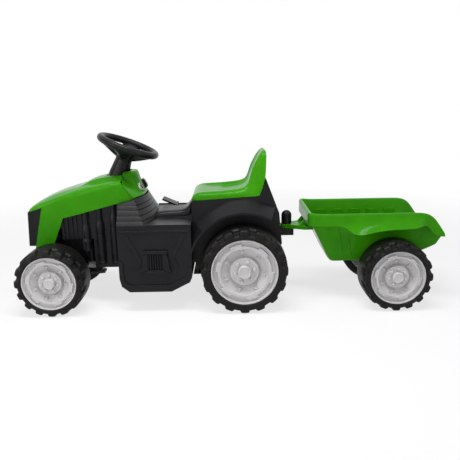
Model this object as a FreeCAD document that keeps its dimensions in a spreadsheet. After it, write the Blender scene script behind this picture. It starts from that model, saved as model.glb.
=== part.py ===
import FreeCAD, Part
import Sketcher
import os
import re

# Driving sizes in millimetres, angles in degrees and plain counts, grouped by the piece they belong to.
SIZES = {
    # walls, cuts and clearances that all pieces share
    "wall": 3.5, "overrun": 5, "fit_gap": 0.05, "run_gap": 0.3, "bead_gap": 0.1,
    # wheels: outer faces of the tyres, axle places, tyres
    "track_half": 203, "front_axle_x": 570, "rear_axle_x": -36, "trailer_axle_x": -511,
    "front_tyre_r": 110, "front_tyre_w": 94, "front_rim_r": 85,
    "rear_tyre_r": 136, "rear_tyre_w": 100, "rear_rim_r": 104,
    "crown_drop": 2, "lug_depth": 8, "lug_count": 16, "tyre_wall": 4,
    # wheel discs: depths are measured inwards from the tyre's outer face
    "lip_depth": 3, "ring_depth": 9, "dish_depth": 20, "plate_depth": 13, "hub_depth": 9,
    "disc_wall": 3, "notch_depth": 2, "bolt_height": 3, "tab_height": 3,
    "hub_r": 16, "hub_inset": 2, "nut_recess_r": 11, "nut_recess_depth": 7, "cap_height": 7,
    "axle_r": 6, "washer_r": 10, "washer_thick": 2,
    # front axle, knuckles and tie rod
    "kingpin_inset": 19, "kingpin_y": "=track_half - front_tyre_w - kingpin_inset", "kingpin_r": 5,
    "kingpin_head_r": 8, "kingpin_head": 4,
    "knuckle_boss_r": 10, "knuckle_collar_r": 8.5, "knuckle_tall": 40, "beam_deep": 22, "ear_thick": 8,
    "ear_reach": 12,
    "arm_length": 45, "arm_wide": 13, "arm_thick": 6, "arm_pin_r": 4,
    "tie_rod_wide": 16, "tie_rod_thick": 7, "tie_slot_r": 4.4, "tie_slot_long": 12,
    # steering column: wheel centre, lean and lengths along the column
    "column_x": 334, "column_z": 512, "column_lean": 21,
    "steer_rim_r": 92, "steer_tube_r": 12, "steer_hub_r": 27, "steer_hub_top": 12, "steer_hub_base": 46,
    "spoke_wide": 26, "spoke_count": 4, "horn_r": 19, "horn_recess": 11, "horn_travel": 3, "horn_crown": 3,
    "neck_top_r": 26, "neck_base_r": 33, "neck_base": 101, "neck_hole_r": 36,
    "shaft_r": 7, "crank_pin_run": 18.8, "crank_thick": 9, "crank_pin_r": 4, "crank_pin_long": 26,
    "crank_drop": "=(column_z - arm_length * sin(column_lean) - front_tyre_r + knuckle_tall / 2 + run_gap"
                  " + tie_rod_thick / 2) / cos(column_lean) - crank_pin_run",
    "bush_r": 12, "bush_flange_r": 17, "bush_flange": 4, "bush_long": 14,
    # engine moulding between the front wheels and the cowl
    "cowl_front_x": 356, "engine_half": 92, "engine_nose_half": 56, "engine_lower_half": 62,
    "engine_front_x": 545, "engine_step_x": 447, "engine_base_z": 128, "engine_clear_z": 225,
    "engine_top_front_z": 318, "engine_top_rear_z": 362, "nose_front_x": 636,
    "column_pitch": 45, "first_engine_column_x": 378, "engine_column_r": 19, "engine_column_sunk": 9,
    "engine_column_base_z": 141, "collar_low_z": 214, "collar_high_z": 252, "collar_thick": 8,
    "rib_pitch": 14, "rib_wide": 7, "rib_proud": 4, "rib_count": 4,
    # hood: nose, rear seam, half width and the height of the side crease at the rear
    "hood_front_x": 652, "hood_length": 352, "hood_half": 108, "hood_base_z": 190, "hood_rise": 217,
    "hood_edge_front_x": 537, "hood_edge_front_z": 296, "seam_low_x": 309, "seam_low_z": 354,
    "seam_high_x": 349, "seam_high_z": 409, "leg_rear_x": 580, "leg_base_z": 196,
    "grille_top_rear_x": 601, "grille_top_rear_z": 331, "grille_base_rear_x": 636, "grille_base_z": 202,
    "grille_inset": 1.5, "slat_count": 5, "slat_pitch": 20, "slat_tall": 8, "slat_half": 52,
    # main body: footboards, tunnel, side panels and the cowl
    "body_half": 168, "panel_rear_x": 128, "floor_z": 283, "panel_base_z": 69,
    "tunnel_half": 55, "tunnel_tall": 11, "tunnel_front_x": 262,
    "cowl_top_z": 357, "cowl_top_half": 110, "cowl_top_corner_x": 307, "cowl_top_centre_x": 277,
    "cowl_foot_corner_x": 272, "cowl_foot_centre_x": 240,
    "vent_rear_x": 200, "vent_front_x": 280, "vent_top_z": 203, "vent_base_z": 130, "vent_proud": 4,
    "vent_slot_count": 6, "vent_slot_pitch": 7.5, "vent_slot_wide": 4, "sill_proud": 3, "sill_tall": 16,
    # dashboard hump
    "shelf_top_z": 372, "shelf_top_half": 106, "shelf_corner_x": 313, "shelf_centre_x": 290,
    "dash_mid_z": 412, "hump_base_half": 62, "hump_corner_x": 296, "hump_mid_half": 50,
    "hump_mid_corner_x": 318,
    "hump_mid_centre_x": 301, "dash_top_z": 433, "hump_top_half": 40, "hump_top_corner_x": 322,
    "hump_top_centre_x": 309,
    "dash_bow": 4, "dash_face_lean": 63, "dash_button_z": 384, "dash_button_y": 32,
    "bezel_r": 13, "bezel_proud": 4, "bezel_long": 14, "button_r": 9, "button_travel": 3,
    "switch_half": 11, "switch_wide_half": 8, "switch_tip": 3, "switch_pin_r": 2.5, "switch_pin_deep": 3,
    # rear body and fenders
    "core_half": 108, "well_half": 98, "core_base_z": 105, "core_rear_x": -112, "tail_x": -160,
    "tail_base_z": 200,
    "seat_edge_front_z": 345, "seat_edge_rear_x": -87, "seat_edge_rear_z": 357,
    "tail_top_x": -110, "tail_top_z": 408, "tail_mid_x": -150, "tail_mid_z": 302,
    "arch_r": 170, "arch_centre_z": 142, "flare_crest": 36, "flare_wall": 6, "flare_front_angle": 4,
    "flare_sweep": 115, "boss_half": 8, "boss_tall": 26,
    # seat
    "seat_half": 105, "seat_front_x": 127, "seat_pan_z": 366, "seat_top_z": 497, "seat_top_half": 50,
    "seat_rim_half": 78,
    "seat_back_x": -106, "seat_back_thick": 50, "seat_lip_z": 357, "seat_roll_x": 98,
    "seat_rim_z": 369, "seat_bend_x": -42, "pan_half": 58, "pan_front_x": 84, "pan_rear_x": -40,
    # tow bar and hitch pin
    "hitch_x": -184, "tow_bar_end_x": -206, "tow_bar_half": 24, "tow_bar_base_z": 207, "tow_bar_top_z": 230,
    "hitch_pin_r": 9, "hitch_head_r": 17, "hitch_head_tall": 45,
    # pieces under the seat
    "cover_thick": 4, "screw_r": 2, "screw_head_r": 4, "screw_head": 2.5, "screw_long": 16,
    "battery_long": 96, "battery_wide": 66, "battery_tall": 92, "battery_rear_x": 16, "battery_right_y": -6,
    "control_long": 70, "control_wide": 46, "control_tall": 34,
    "gearbox_long": 78, "gearbox_wide": 38, "gearbox_tall": 76, "motor_r": 18,
    "motor_long": 62, "motor_z": 168, "dog_r": 15, "dog_hole_r": 18,
    # accelerator pedal on the right footboard
    "pedal_y": -112, "pedal_half": 26, "pedal_heel_x": 196, "pedal_long": 52, "pedal_thick": 6,
    "pedal_angle": 24, "pedal_pin_r": 3, "pedal_barrel_r": 6, "pedal_ear": 4, "pedal_axis_up": 9,
    "pedal_base_thick": 2,
    # trailer tub
    "tub_front_x": -262, "tub_top_z": 300, "tub_tail_x": -680,
    "tub_base_z": 134, "tub_top_half": 118,
    "tub_base_half": 94, "rim_half": 132, "rim_front_x": -238, "skirt_tall": 39,
    "skirt_end_x": -590, "skirt_rear_x": -634, "skirt_rear_z": 224, "flare_half": 166, "flare_drop": 24,
    "flare_front_x": -378, "flare_rear_x": -582, "flare_low_z": 233, "flare_lip": 5,

    # trailer tongue, axle and brackets
    "tongue_half": 20, "tongue_root_half": 46, "tongue_thick": 13, "gusset_thick": 6,
    "gusset_y": 30, "bracket_y": 72, "bracket_half": 9, "bracket_long": 46, "bracket_drop": 12,
}

doc = FreeCAD.newDocument("ride_on_tractor")
sheet = doc.addObject("Spreadsheet::Sheet", "Sizes")
for row, (alias, value) in enumerate(SIZES.items(), start=1):
    sheet.set(f"A{row}", alias)
    sheet.set(f"B{row}", str(value))
    sheet.setAlias(f"B{row}", alias)
doc.recompute()

nodes = {}


def bound(text):
    """Expression text in which each size name points at its cell."""
    return re.sub(r"[A-Za-z_]\w*", lambda m: "Sizes." + m[0] if m[0] in SIZES else m[0], str(text))


def amount(text):
    """Value of an expression of size names."""
    return float(sheet.evalExpression(bound(text)))


def node(label, piece):
    """Keep a finished document object as the sub-part of that name."""
    piece.Label = label
    nodes[label] = piece
    return piece


def new_body(name):
    return doc.addObject("PartDesign::Body", name)


def origin_item(body, role):
    return next(item for item in body.Origin.OriginFeatures if item.Role == role)


def place(piece, x="0", y="0", z="0", axis=None, angle="0"):
    """Bind a piece's place, and its turn about one axis, to the sheet."""
    if axis:
        piece.Placement.Rotation = FreeCAD.Rotation(FreeCAD.Vector(*axis), amount(angle))
        piece.setExpression("Placement.Rotation.Angle", bound(angle))
    for name, text in zip("xyz", (x, y, z)):
        piece.setExpression(f"Placement.Base.{name}", bound(text))
    return piece


def pin_point(sketch, geometry, position, x, y):
    """Hold one point of a sketch at bound distances from the sketch's origin."""
    for kind, text, line in (("DistanceX", x, -2), ("DistanceY", y, -1)):
        value = amount(text)
        if value == 0:
            sketch.addConstraint(Sketcher.Constraint("PointOnObject", geometry, position, line))
            continue
        index = sketch.addConstraint(Sketcher.Constraint(kind, -1, 1, geometry, position, value))
        sketch.setExpression(f"Constraints[{index}]", bound(text))


def new_sketch(body, plane, offset="0"):
    sketch = body.newObject("Sketcher::SketchObject", body.Name + "_sketch")
    sketch.AttachmentSupport = [(origin_item(body, plane + "_Plane"), "")]
    sketch.MapMode = "FlatFace"
    sketch.setExpression("AttachmentOffset.Base.z", bound(offset))
    return sketch


def trace(sketch, outline):
    """Draw a closed outline of (x, y) corners; ("via", x, y) bends the run between two corners to an arc."""
    corners = []
    for point in outline:
        if point[0] == "via":
            corners[-1][1] = point[1:]
        else:
            corners.append([point, None])
    spots = [FreeCAD.Vector(amount(x), amount(y), 0) for (x, y), via in corners]
    ends = []
    for index, (corner, via) in enumerate(corners):
        start, end = spots[index], spots[(index + 1) % len(spots)]
        if via is None:
            ends.append((sketch.addGeometry(Part.LineSegment(start, end)), 1, 2))
            continue
        middle = FreeCAD.Vector(amount(via[0]), amount(via[1]), 0)
        turns_left = (middle - start).cross(end - middle).z > 0
        first, last = (start, end) if turns_left else (end, start)
        arc = sketch.addGeometry(Part.Arc(first, middle, last))
        ends.append((arc, 1, 2) if turns_left else (arc, 2, 1))
        spot = sketch.addGeometry(Part.Point(middle), True)
        pin_point(sketch, spot, 1, *via)
        sketch.addConstraint(Sketcher.Constraint("PointOnObject", spot, 1, arc))
    for index, (geometry, start, end) in enumerate(ends):
        following, next_start = ends[(index + 1) % len(ends)][:2]
        sketch.addConstraint(Sketcher.Constraint("Coincident", geometry, end, following, next_start))
        pin_point(sketch, geometry, start, *corners[index][0])
    return sketch


def ring(sketch, x, y, radius):
    """Draw a bound circle."""
    circle = Part.Circle(FreeCAD.Vector(amount(x), amount(y), 0), FreeCAD.Vector(0, 0, 1), amount(radius))
    index = sketch.addGeometry(circle)
    pin_point(sketch, index, 3, x, y)
    bind = sketch.addConstraint(Sketcher.Constraint("Radius", index, amount(radius)))
    sketch.setExpression(f"Constraints[{bind}]", bound(radius))
    return sketch


def feature(body, kind, sketch, both_ways=False, **sizes):
    """Add a sketch-based feature with bound sizes."""
    item = body.newObject("PartDesign::" + kind, body.Name + "_" + kind.lower())
    item.Profile = sketch
    if both_ways:
        item.SideType = "Symmetric"
    for name, text in sizes.items():
        item.setExpression(name, bound(text))
    return item


def pad(body, sketch, length, both_ways=True):
    return feature(body, "Pad", sketch, both_ways, Length=length)


def pocket(body, sketch, length, both_ways=True, reverse=False):
    """Cut, and stop the build if nothing was removed."""
    doc.recompute()
    before = body.Shape.Volume
    item = feature(body, "Pocket", sketch, both_ways, Length=length)
    item.Reversed = reverse
    doc.recompute()
    if not body.Shape.Volume < before:
        raise RuntimeError(item.Name + " removes nothing")
    return item


def revolve(body, sketch, angle="360", axis="V_Axis"):
    item = feature(body, "Revolution", sketch, Angle=angle)
    item.ReferenceAxis = (sketch, [axis])
    return item


def loft(body, sketches, subtract=False):
    kind = "SubtractiveLoft" if subtract else "AdditiveLoft"
    item = feature(body, kind, sketches[0])
    item.Sections = sketches[1:]
    item.Ruled = True
    return item


def polar(body, originals, count, axis):
    item = body.newObject("PartDesign::PolarPattern", body.Name + "_polar")
    item.Originals = originals
    item.Axis = (origin_item(body, axis + "_Axis"), [""])
    item.setExpression("Occurrences", bound(count))
    body.Tip = item
    return item


def mirror(body, originals, plane):
    item = body.newObject("PartDesign::Mirrored", body.Name + "_mirror")
    item.Originals = originals
    item.MirrorPlane = (origin_item(body, plane + "_Plane"), [""])
    body.Tip = item
    return item


def both_sides(half):
    """Close an outline that is given for +x only, from its first point on the y axis to its last one."""
    other = []
    for point in reversed(half):
        flipped = (f"-({point[-2]})", point[-1])
        other.append(("via",) + flipped if point[0] == "via" else flipped)
    return half + [point for point in other if amount(point[-2]) != 0]


def by_shares(shares, x0, dx, y0, dy):
    """Outline whose points are shares of a length along x and a height along y."""
    points = []
    for share in shares:
        spot = (f"{x0} + ({dx}) * ({share[-2]})", f"{y0} + ({dy}) * ({share[-1]})")
        points.append(("via",) + spot if share[0] == "via" else spot)
    return points


def box(name, x, y, z):
    """Box between bound (low, high) limits along each axis."""
    item = doc.addObject("Part::Box", name)
    for side, (low, high) in zip(("Length", "Width", "Height"), (x, y, z)):
        item.setExpression(side, bound(f"({high}) - ({low})"))
    return place(item, x[0], y[0], z[0])


TURNS = {"X": ((0, 1, 0), 90), "Y": ((1, 0, 0), -90), "Z": ((0, 0, 1), 0)}


def rod(name, radius, along, low, high, x="0", y="0", z="0"):
    """Cylinder along one axis between two bound limits."""
    item = doc.addObject("Part::Cylinder", name)
    item.setExpression("Radius", bound(radius))
    item.setExpression("Height", bound(f"({high}) - ({low})"))
    axis, angle = TURNS[along]
    item.Placement.Rotation = FreeCAD.Rotation(FreeCAD.Vector(*axis), angle)
    spot = {"x": x, "y": y, "z": z, along.lower(): low}
    for letter, text in spot.items():
        item.setExpression(f"Placement.Base.{letter}", bound(text))
    return item


def fuse(name, shapes):
    item = doc.addObject("Part::MultiFuse", name)
    item.Shapes = shapes
    return item


def group(name, shapes):
    """Like pieces that share a node as separate solids."""
    item = doc.addObject("Part::Compound", name)
    item.Links = shapes
    return item


def cut(name, base, tools):
    tool = tools[0] if len(tools) == 1 else fuse(name + "_tools", tools)
    item = doc.addObject("Part::Cut", name)
    item.Base = base
    item.Tool = tool
    return item


def span(side, near, far):
    """Limits along Y on the left (1) or the right (-1) side."""
    return (near, far) if side > 0 else (f"-({far})", f"-({near})")


SIDES = (("left", 1), ("right", -1))

# Tyre outline, in shares of the tyre's height above the rim and of its width, from the outer bead round
TYRE_SIDE_SHARES = [(0.55, 0.0), (0.85, 0.02)]
TYRE_CROWN_SHARE = 0.08
TYRE_BEAD_SHARE = 0.04
TYRE_CAVITY_SHARES = (0.3, 0.2)
LUG_GAP_SHARES = [(-0.16, 0.02), (0.12, 0.02), (0.2, -0.41), (0.0, -0.41)]


def make_tyre(label, radius, width, rim, axle_x, side):
    """Hollow tyre, open towards the rim, with lug pockets round both shoulders."""
    body = new_body(label)
    bead = f"{rim} + bead_gap"
    height = f"({radius} - {rim})"
    outer = [(bead, f"-{width} * {TYRE_BEAD_SHARE}")]
    outer += [(f"{rim} + {height} * {up}", f"-{width} * {across}") for up, across in TYRE_SIDE_SHARES]
    outer += [(f"{radius} - crown_drop", f"-{width} * {TYRE_CROWN_SHARE}")]
    inner = [(x, f"-{width} - ({y})") for x, y in reversed(outer)]
    up_share, across_share = TYRE_CAVITY_SHARES
    floor = f"{radius} - lug_depth - tyre_wall"
    cavity = [
        (bead, f"-{width} * {1 - TYRE_BEAD_SHARE} + tyre_wall"),
        (f"{rim} + {height} * {up_share}", f"-{width} * {1 - TYRE_BEAD_SHARE} + tyre_wall"),
        (floor, f"-{width} * {1 - across_share}"),
        (floor, f"-{width} * {across_share}"),
        (f"{rim} + {height} * {up_share}", f"-{width} * {TYRE_BEAD_SHARE} - tyre_wall"),
        (bead, f"-{width} * {TYRE_BEAD_SHARE} - tyre_wall"),
    ]
    crown = ("via", radius, f"-{width} / 2")
    revolve(body, trace(new_sketch(body, "XY"), outer + [crown] + inner + cavity))
    pitch = f"(2 * {radius} * tan(180 / lug_count))"
    gaps = [(f"{pitch} * ({a})", f"{width} * ({b})") for a, b in LUG_GAP_SHARES]
    sketch = trace(new_sketch(body, "XY", f"{radius} - lug_depth"), gaps)
    trace(sketch, [(x, f"-{width} - ({y})") for x, y in gaps])
    lugs = pocket(body, sketch, "lug_depth + overrun", both_ways=False, reverse=True)
    polar(body, [lugs], "lug_count", "Y")
    place(body, axle_x, f"{side} * track_half", radius, (0, 0, 1), "0" if side > 0 else "180")
    return node(label, body)


# Disc outline: shares of the rim radius where the plate, dish and ring of the disc begin and end
DISC_SHARES = {"boss": 0.2, "plate": 0.42, "dish_in": 0.45, "dish_out": 0.7, "ring_in": 0.74,
               "ring_out": 0.945,
               "lip": 0.96, "bolts": 0.31, "bolt": 0.035, "tabs": 0.63, "tab": 0.045, "notch": 0.86,
               "barrel": 0.95}
NOTCH_SHARES = [(-0.2, -0.03), (-0.15, 0.035), (0.15, 0.035), (0.2, -0.03)]
NOTCH_COUNT = 6
TAB_COUNT = 7


def make_disc(label, width, rim, tyre_r, bolt_count, axle_x, side):
    """Stepped wheel disc with notched ring, V tabs, bolt heads, rim barrel and axle hub."""
    body = new_body(label)
    at = {name: f"{rim} * {share}" for name, share in DISC_SHARES.items()}
    bore = "axle_r + fit_gap"
    front = [
        (bore, "-hub_depth - nut_recess_depth"), ("nut_recess_r", "-hub_depth - nut_recess_depth"),
        ("nut_recess_r", "-hub_depth"), (at["boss"], "-hub_depth"), (at["boss"], "-plate_depth"),
        (at["plate"], "-plate_depth"), (at["dish_in"], "-dish_depth"), (at["dish_out"], "-dish_depth"),
        (at["ring_in"], "-ring_depth"), (at["ring_out"], "-ring_depth"), (at["lip"], "-lip_depth"),
        (rim, "-lip_depth"),
    ]
    barrel_end = f"-{width} * {DISC_SHARES['barrel']}"
    back = [
        (rim, barrel_end), (f"{rim} - disc_wall", barrel_end),
        (f"{rim} - disc_wall", "-ring_depth - disc_wall"),
        (f"{at['ring_in']} + disc_wall", "-ring_depth - disc_wall"),
        (f"{at['dish_out']} + disc_wall", "-dish_depth - disc_wall"), ("hub_r", "-dish_depth - disc_wall"),
        ("hub_r", f"-{width} + hub_inset"), (bore, f"-{width} + hub_inset"),
    ]
    revolve(body, trace(new_sketch(body, "XY"), front + back))
    # XZ sketches look along +Y, so a depth inwards is an offset along the sketch's normal
    notch = trace(new_sketch(body, "XZ", "ring_depth"),
                  by_shares(NOTCH_SHARES, "0", rim, at["notch"], rim))
    notches = pocket(body, notch, "notch_depth", both_ways=False, reverse=True)
    polar(body, [notches], NOTCH_COUNT, "Y")
    bolts = new_sketch(body, "XZ", "plate_depth")
    ring(bolts, "0", at["bolts"], at["bolt"])
    heads = pad(body, bolts, "bolt_height", both_ways=False)
    heads.Reversed = True
    polar(body, [heads], bolt_count, "Y")
    tabs = new_sketch(body, "XZ", "dish_depth")
    tab = at["tab"]
    trace(tabs, [(f"-({tab})", f"{at['tabs']} + {tab}"), ("0", f"{at['tabs']} - {tab}"),
                 (tab, f"{at['tabs']} + {tab}")])
    raised = pad(body, tabs, "tab_height", both_ways=False)
    raised.Reversed = True
    polar(body, [raised], TAB_COUNT, "Y")
    place(body, axle_x, f"{side} * track_half", tyre_r, (0, 0, 1), "0" if side > 0 else "180")
    return node(label, body)


def make_cap(label, rim, tyre_r, axle_x, side):
    """Round centre cap that sits on the hub's front and hides the axle end."""
    body = new_body(label)
    edge = f"{rim} * {DISC_SHARES['boss']}"
    face = "-hub_depth + cap_height"
    trace_points = [("0", "-hub_depth"), (edge, "-hub_depth"), (edge, "-hub_depth + cap_height * 2 / 3"),
                    (f"{edge} - cap_height / 3", face), ("0", face)]
    revolve(body, trace(new_sketch(body, "XY"), trace_points))
    place(body, axle_x, f"{side} * track_half", tyre_r, (0, 0, 1), "0" if side > 0 else "180")
    return node(label, body)


WHEELS = (
    ("front", "front_axle_x", "front_tyre_r", "front_tyre_w", "front_rim_r", 7),
    ("rear", "rear_axle_x", "rear_tyre_r", "rear_tyre_w", "rear_rim_r", 6),
    ("trailer", "trailer_axle_x", "front_tyre_r", "front_tyre_w", "front_rim_r", 7),
)
for place_name, axle_x, tyre_r, tyre_w, rim_r, bolt_count in WHEELS:
    for side_name, side in SIDES:
        wheel = f"{place_name}_{side_name}"
        make_tyre(wheel + "_tyre", tyre_r, tyre_w, rim_r, axle_x, side)
        make_disc(wheel + "_disc", tyre_w, rim_r, tyre_r, bolt_count, axle_x, side)
        make_cap(wheel + "_cap", rim_r, tyre_r, axle_x, side)

# Front axle: beam with forked ends, kingpins, knuckles with stub axles and arms, tie rod
BEAM_TOP = "front_tyre_r + knuckle_tall / 2 + run_gap + ear_thick"
BEAM_BASE = "front_tyre_r - knuckle_tall / 2 - run_gap - ear_thick"
beam = new_body("front_axle_beam")
ear_gap = "knuckle_tall / 2 + run_gap"
fork_root = "kingpin_y - knuckle_boss_r - run_gap - wall"
fork_tip = "kingpin_y + ear_reach - run_gap"
pad(beam, trace(new_sketch(beam, "YZ"), both_sides([
    ("0", BEAM_TOP), (fork_tip, BEAM_TOP), (fork_tip, f"front_tyre_r + {ear_gap}"),
    (fork_root, f"front_tyre_r + {ear_gap}"), (fork_root, f"front_tyre_r - ({ear_gap})"),
    (fork_tip, f"front_tyre_r - ({ear_gap})"), (fork_tip, BEAM_BASE), ("0", BEAM_BASE)])), "beam_deep")
pin_holes = new_sketch(beam, "XY", BEAM_TOP)
for side_name, side in SIDES:
    ring(pin_holes, "0", f"{side} * kingpin_y", "kingpin_r + fit_gap")
pocket(beam, pin_holes, f"{BEAM_TOP} - ({BEAM_BASE})", both_ways=False)
node("front_axle_beam", place(beam, "front_axle_x"))

kingpins = []
for side_name, side in SIDES:
    spot = {"x": "front_axle_x", "y": f"{side} * kingpin_y"}
    shank = rod(f"kingpin_{side_name}", "kingpin_r", "Z", BEAM_BASE, BEAM_TOP, **spot)
    head = rod(f"kingpin_head_{side_name}", "kingpin_head_r", "Z", BEAM_TOP, f"{BEAM_TOP} + kingpin_head",
               **spot)
    kingpins.append(fuse(f"kingpin_whole_{side_name}", [shank, head]))
node("kingpins", group("kingpins", kingpins))

HEAD_BACK = "track_half - hub_depth - nut_recess_depth + run_gap"
STUB_END = f"{HEAD_BACK} + washer_thick"
HUB_BACK = "track_half - front_tyre_w + hub_inset"
KNUCKLE_BASE = "front_tyre_r - knuckle_tall / 2"
ARM_PIN_X = "front_axle_x - arm_length"
for side_name, side in SIDES:
    y = f"{side} * kingpin_y"
    name = f"knuckle_{side_name}"
    boss = rod(name + "_boss", "knuckle_boss_r", "Z", KNUCKLE_BASE, "front_tyre_r + knuckle_tall / 2",
               x="front_axle_x", y=y)
    stub = rod(name + "_stub", "axle_r", "Y", *span(side, "kingpin_y", STUB_END), x="front_axle_x",
               z="front_tyre_r")
    head = rod(name + "_head", "washer_r", "Y", *span(side, HEAD_BACK, STUB_END), x="front_axle_x",
               z="front_tyre_r")
    collar = rod(name + "_collar", "knuckle_collar_r", "Y", *span(side, "kingpin_y", f"{HUB_BACK} - run_gap"),
                 x="front_axle_x", z="front_tyre_r")
    arm = box(name + "_arm", (f"{ARM_PIN_X} - arm_wide / 2", "front_axle_x"),
              (f"{y} - arm_wide / 2", f"{y} + arm_wide / 2"), (KNUCKLE_BASE, f"{KNUCKLE_BASE} + arm_thick"))
    pin = rod(name + "_pin", "arm_pin_r", "Z", f"{KNUCKLE_BASE} - tie_rod_thick - 3 * run_gap", KNUCKLE_BASE,
              x=ARM_PIN_X, y=y)
    bore = rod(name + "_bore", "kingpin_r + fit_gap", "Z", f"{KNUCKLE_BASE} - overrun",
               "front_tyre_r + knuckle_tall / 2 + overrun", x="front_axle_x", y=y)
    node(name, cut(name, fuse(name + "_solid", [boss, stub, head, collar, arm, pin]), [bore]))

# The crank pin crosses the tie rod's plate here; the slot leaves room for the lean of the pin
TIE_TOP = f"{KNUCKLE_BASE} - run_gap"
TIE_BASE = f"{TIE_TOP} - tie_rod_thick"
CRANK_PIN_Z = f"({TIE_TOP} - tie_rod_thick / 2)"
PIN_RUN = f"((column_z - crank_drop * cos(column_lean) - arm_length * sin(column_lean) - {CRANK_PIN_Z})"
PIN_RUN += " / cos(column_lean))"
SLOT_X = f"(column_x + crank_drop * sin(column_lean) - arm_length * cos(column_lean)"
SLOT_X += f" + {PIN_RUN} * sin(column_lean))"
tie = new_body("tie_rod")
half_wide = "tie_rod_wide / 2"
pad(tie, trace(new_sketch(tie, "XY", TIE_BASE), [
    (f"{ARM_PIN_X} + {half_wide}", f"-kingpin_y - {half_wide}"),
    (f"{ARM_PIN_X} + {half_wide}", f"kingpin_y + {half_wide}"),
    (f"{ARM_PIN_X} - {half_wide}", f"kingpin_y + {half_wide}"),
    (f"{ARM_PIN_X} - {half_wide}", "tie_rod_wide * 2"),
    (f"{SLOT_X} - tie_slot_long", "tie_rod_wide"), (f"{SLOT_X} - tie_slot_long", "-tie_rod_wide"),
    (f"{ARM_PIN_X} - {half_wide}", "-tie_rod_wide * 2"),
    (f"{ARM_PIN_X} - {half_wide}", f"-kingpin_y - {half_wide}"),
]), "tie_rod_thick", both_ways=False)
holes = new_sketch(tie, "XY", TIE_TOP)
for side_name, side in SIDES:
    ring(holes, ARM_PIN_X, f"{side} * kingpin_y", "arm_pin_r + fit_gap")
trace(holes,
      [(f"{SLOT_X} - tie_slot_long / 2", "-tie_slot_r"), (f"{SLOT_X} + tie_slot_long / 2", "-tie_slot_r"),
              (f"{SLOT_X} + tie_slot_long / 2", "tie_slot_r"),
              (f"{SLOT_X} - tie_slot_long / 2", "tie_slot_r")])
pocket(tie, holes, "tie_rod_thick + overrun", both_ways=False)
node("tie_rod", tie)


# Steering column pieces: drawn upright round the wheel's centre, then leaned back together
def on_column(label, body):
    return node(label, place(body, "column_x", "0", "column_z", (0, -1, 0), "column_lean"))


SPOKE_SHARES = [(0.25, -0.95), (0.97, -0.12), (0.97, 0.16), (0.25, -0.45)]
steering_wheel = new_body("steering_wheel")
revolve(steering_wheel, ring(new_sketch(steering_wheel, "XZ"), "steer_rim_r", "0", "steer_tube_r"))
spoke = pad(steering_wheel, trace(new_sketch(steering_wheel, "XZ"),
            by_shares(SPOKE_SHARES, "0", "steer_rim_r", "0", "steer_hub_base")), "spoke_wide")
polar(steering_wheel, [spoke], "spoke_count", "Z")
revolve(steering_wheel, trace(new_sketch(steering_wheel, "XZ"), [
    ("0", "-steer_hub_base"), ("steer_hub_r", "-steer_hub_base"), ("steer_hub_r", "-steer_hub_top"),
    ("horn_r + run_gap", "-steer_hub_top"), ("horn_r + run_gap", "-steer_hub_top - horn_recess"),
    ("0", "-steer_hub_top - horn_recess")]))
shaft_hole = ring(new_sketch(steering_wheel, "XY", "-steer_hub_top - horn_recess - wall"), "0", "0",
                  "shaft_r + fit_gap")
pocket(steering_wheel, shaft_hole, "steer_hub_base", both_ways=False)
on_column("steering_wheel", steering_wheel)

horn = new_body("horn_button")
HORN_BASE = "-steer_hub_top - horn_recess + horn_travel + run_gap"
revolve(horn, trace(new_sketch(horn, "XZ"), [
    ("0", HORN_BASE), ("horn_r", HORN_BASE), ("horn_r", "-steer_hub_top"),
    ("horn_r * 3 / 4", "-steer_hub_top + horn_crown * 3 / 4"), ("horn_r / 3", "-steer_hub_top + horn_crown"),
    ("0", "-steer_hub_top + horn_crown")]))
on_column("horn_button", horn)

neck = new_body("steering_neck")
revolve(neck, trace(new_sketch(neck, "XZ"), [
    ("shaft_r + fit_gap", "-steer_hub_base"), ("neck_top_r", "-steer_hub_base"),
    ("neck_base_r", "-neck_base"),
    ("neck_base_r - wall", "-neck_base"), ("neck_top_r - wall", "-steer_hub_base - 2 * wall"),
    ("shaft_r + fit_gap", "-steer_hub_base - 2 * wall")]))
on_column("steering_neck", neck)

shaft = new_body("steering_shaft")
SHAFT_TOP = "-steer_hub_top - horn_recess - wall"
pad(shaft, ring(new_sketch(shaft, "XY", "-crank_drop"), "0", "0", "shaft_r"), f"crank_drop + ({SHAFT_TOP})",
    both_ways=False)
pad(shaft, trace(new_sketch(shaft, "XY", "-crank_drop"), [
    ("shaft_r", "-shaft_r"), ("shaft_r", "shaft_r"), ("-arm_length - shaft_r", "shaft_r"),
    ("-arm_length - shaft_r", "-shaft_r")]), "crank_thick")
pad(shaft, ring(new_sketch(shaft, "XY", "-crank_drop - crank_pin_long"), "-arm_length", "0", "crank_pin_r"),
    "crank_pin_long", both_ways=False)
on_column("steering_shaft", shaft)

# Bush where the shaft leaves the engine moulding's floor
NOSE_BASE = BEAM_TOP
BUSH_DROP = f"((column_z - ({NOSE_BASE})) / cos(column_lean))"
bush = new_body("column_bush")
revolve(bush, trace(new_sketch(bush, "XZ"), [
    ("shaft_r + fit_gap", f"-{BUSH_DROP} - bush_long / 2"), ("bush_r", f"-{BUSH_DROP} - bush_long / 2"),
    ("bush_r", f"-{BUSH_DROP} + bush_long / 2 + bush_flange"),
    ("shaft_r + fit_gap", f"-{BUSH_DROP} + bush_long / 2 + bush_flange")]))
on_column("column_bush", bush)


def column_drill(name, radius, low, high):
    """Cylinder along the steering column, to drill the mouldings that it passes."""
    item = doc.addObject("Part::Cylinder", name)
    item.setExpression("Radius", bound(radius))
    item.setExpression("Height", bound(f"({high}) - ({low})"))
    reach = f"({low})"
    return place(item, f"column_x - {reach} * sin(column_lean)", "0",
                 f"column_z + {reach} * cos(column_lean)",
                 (0, -1, 0), "column_lean")

# Engine moulding: wide block behind the wheels, clear of their swing, narrow nose over the axle beam
engine = new_body("engine_moulding_body")


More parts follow.
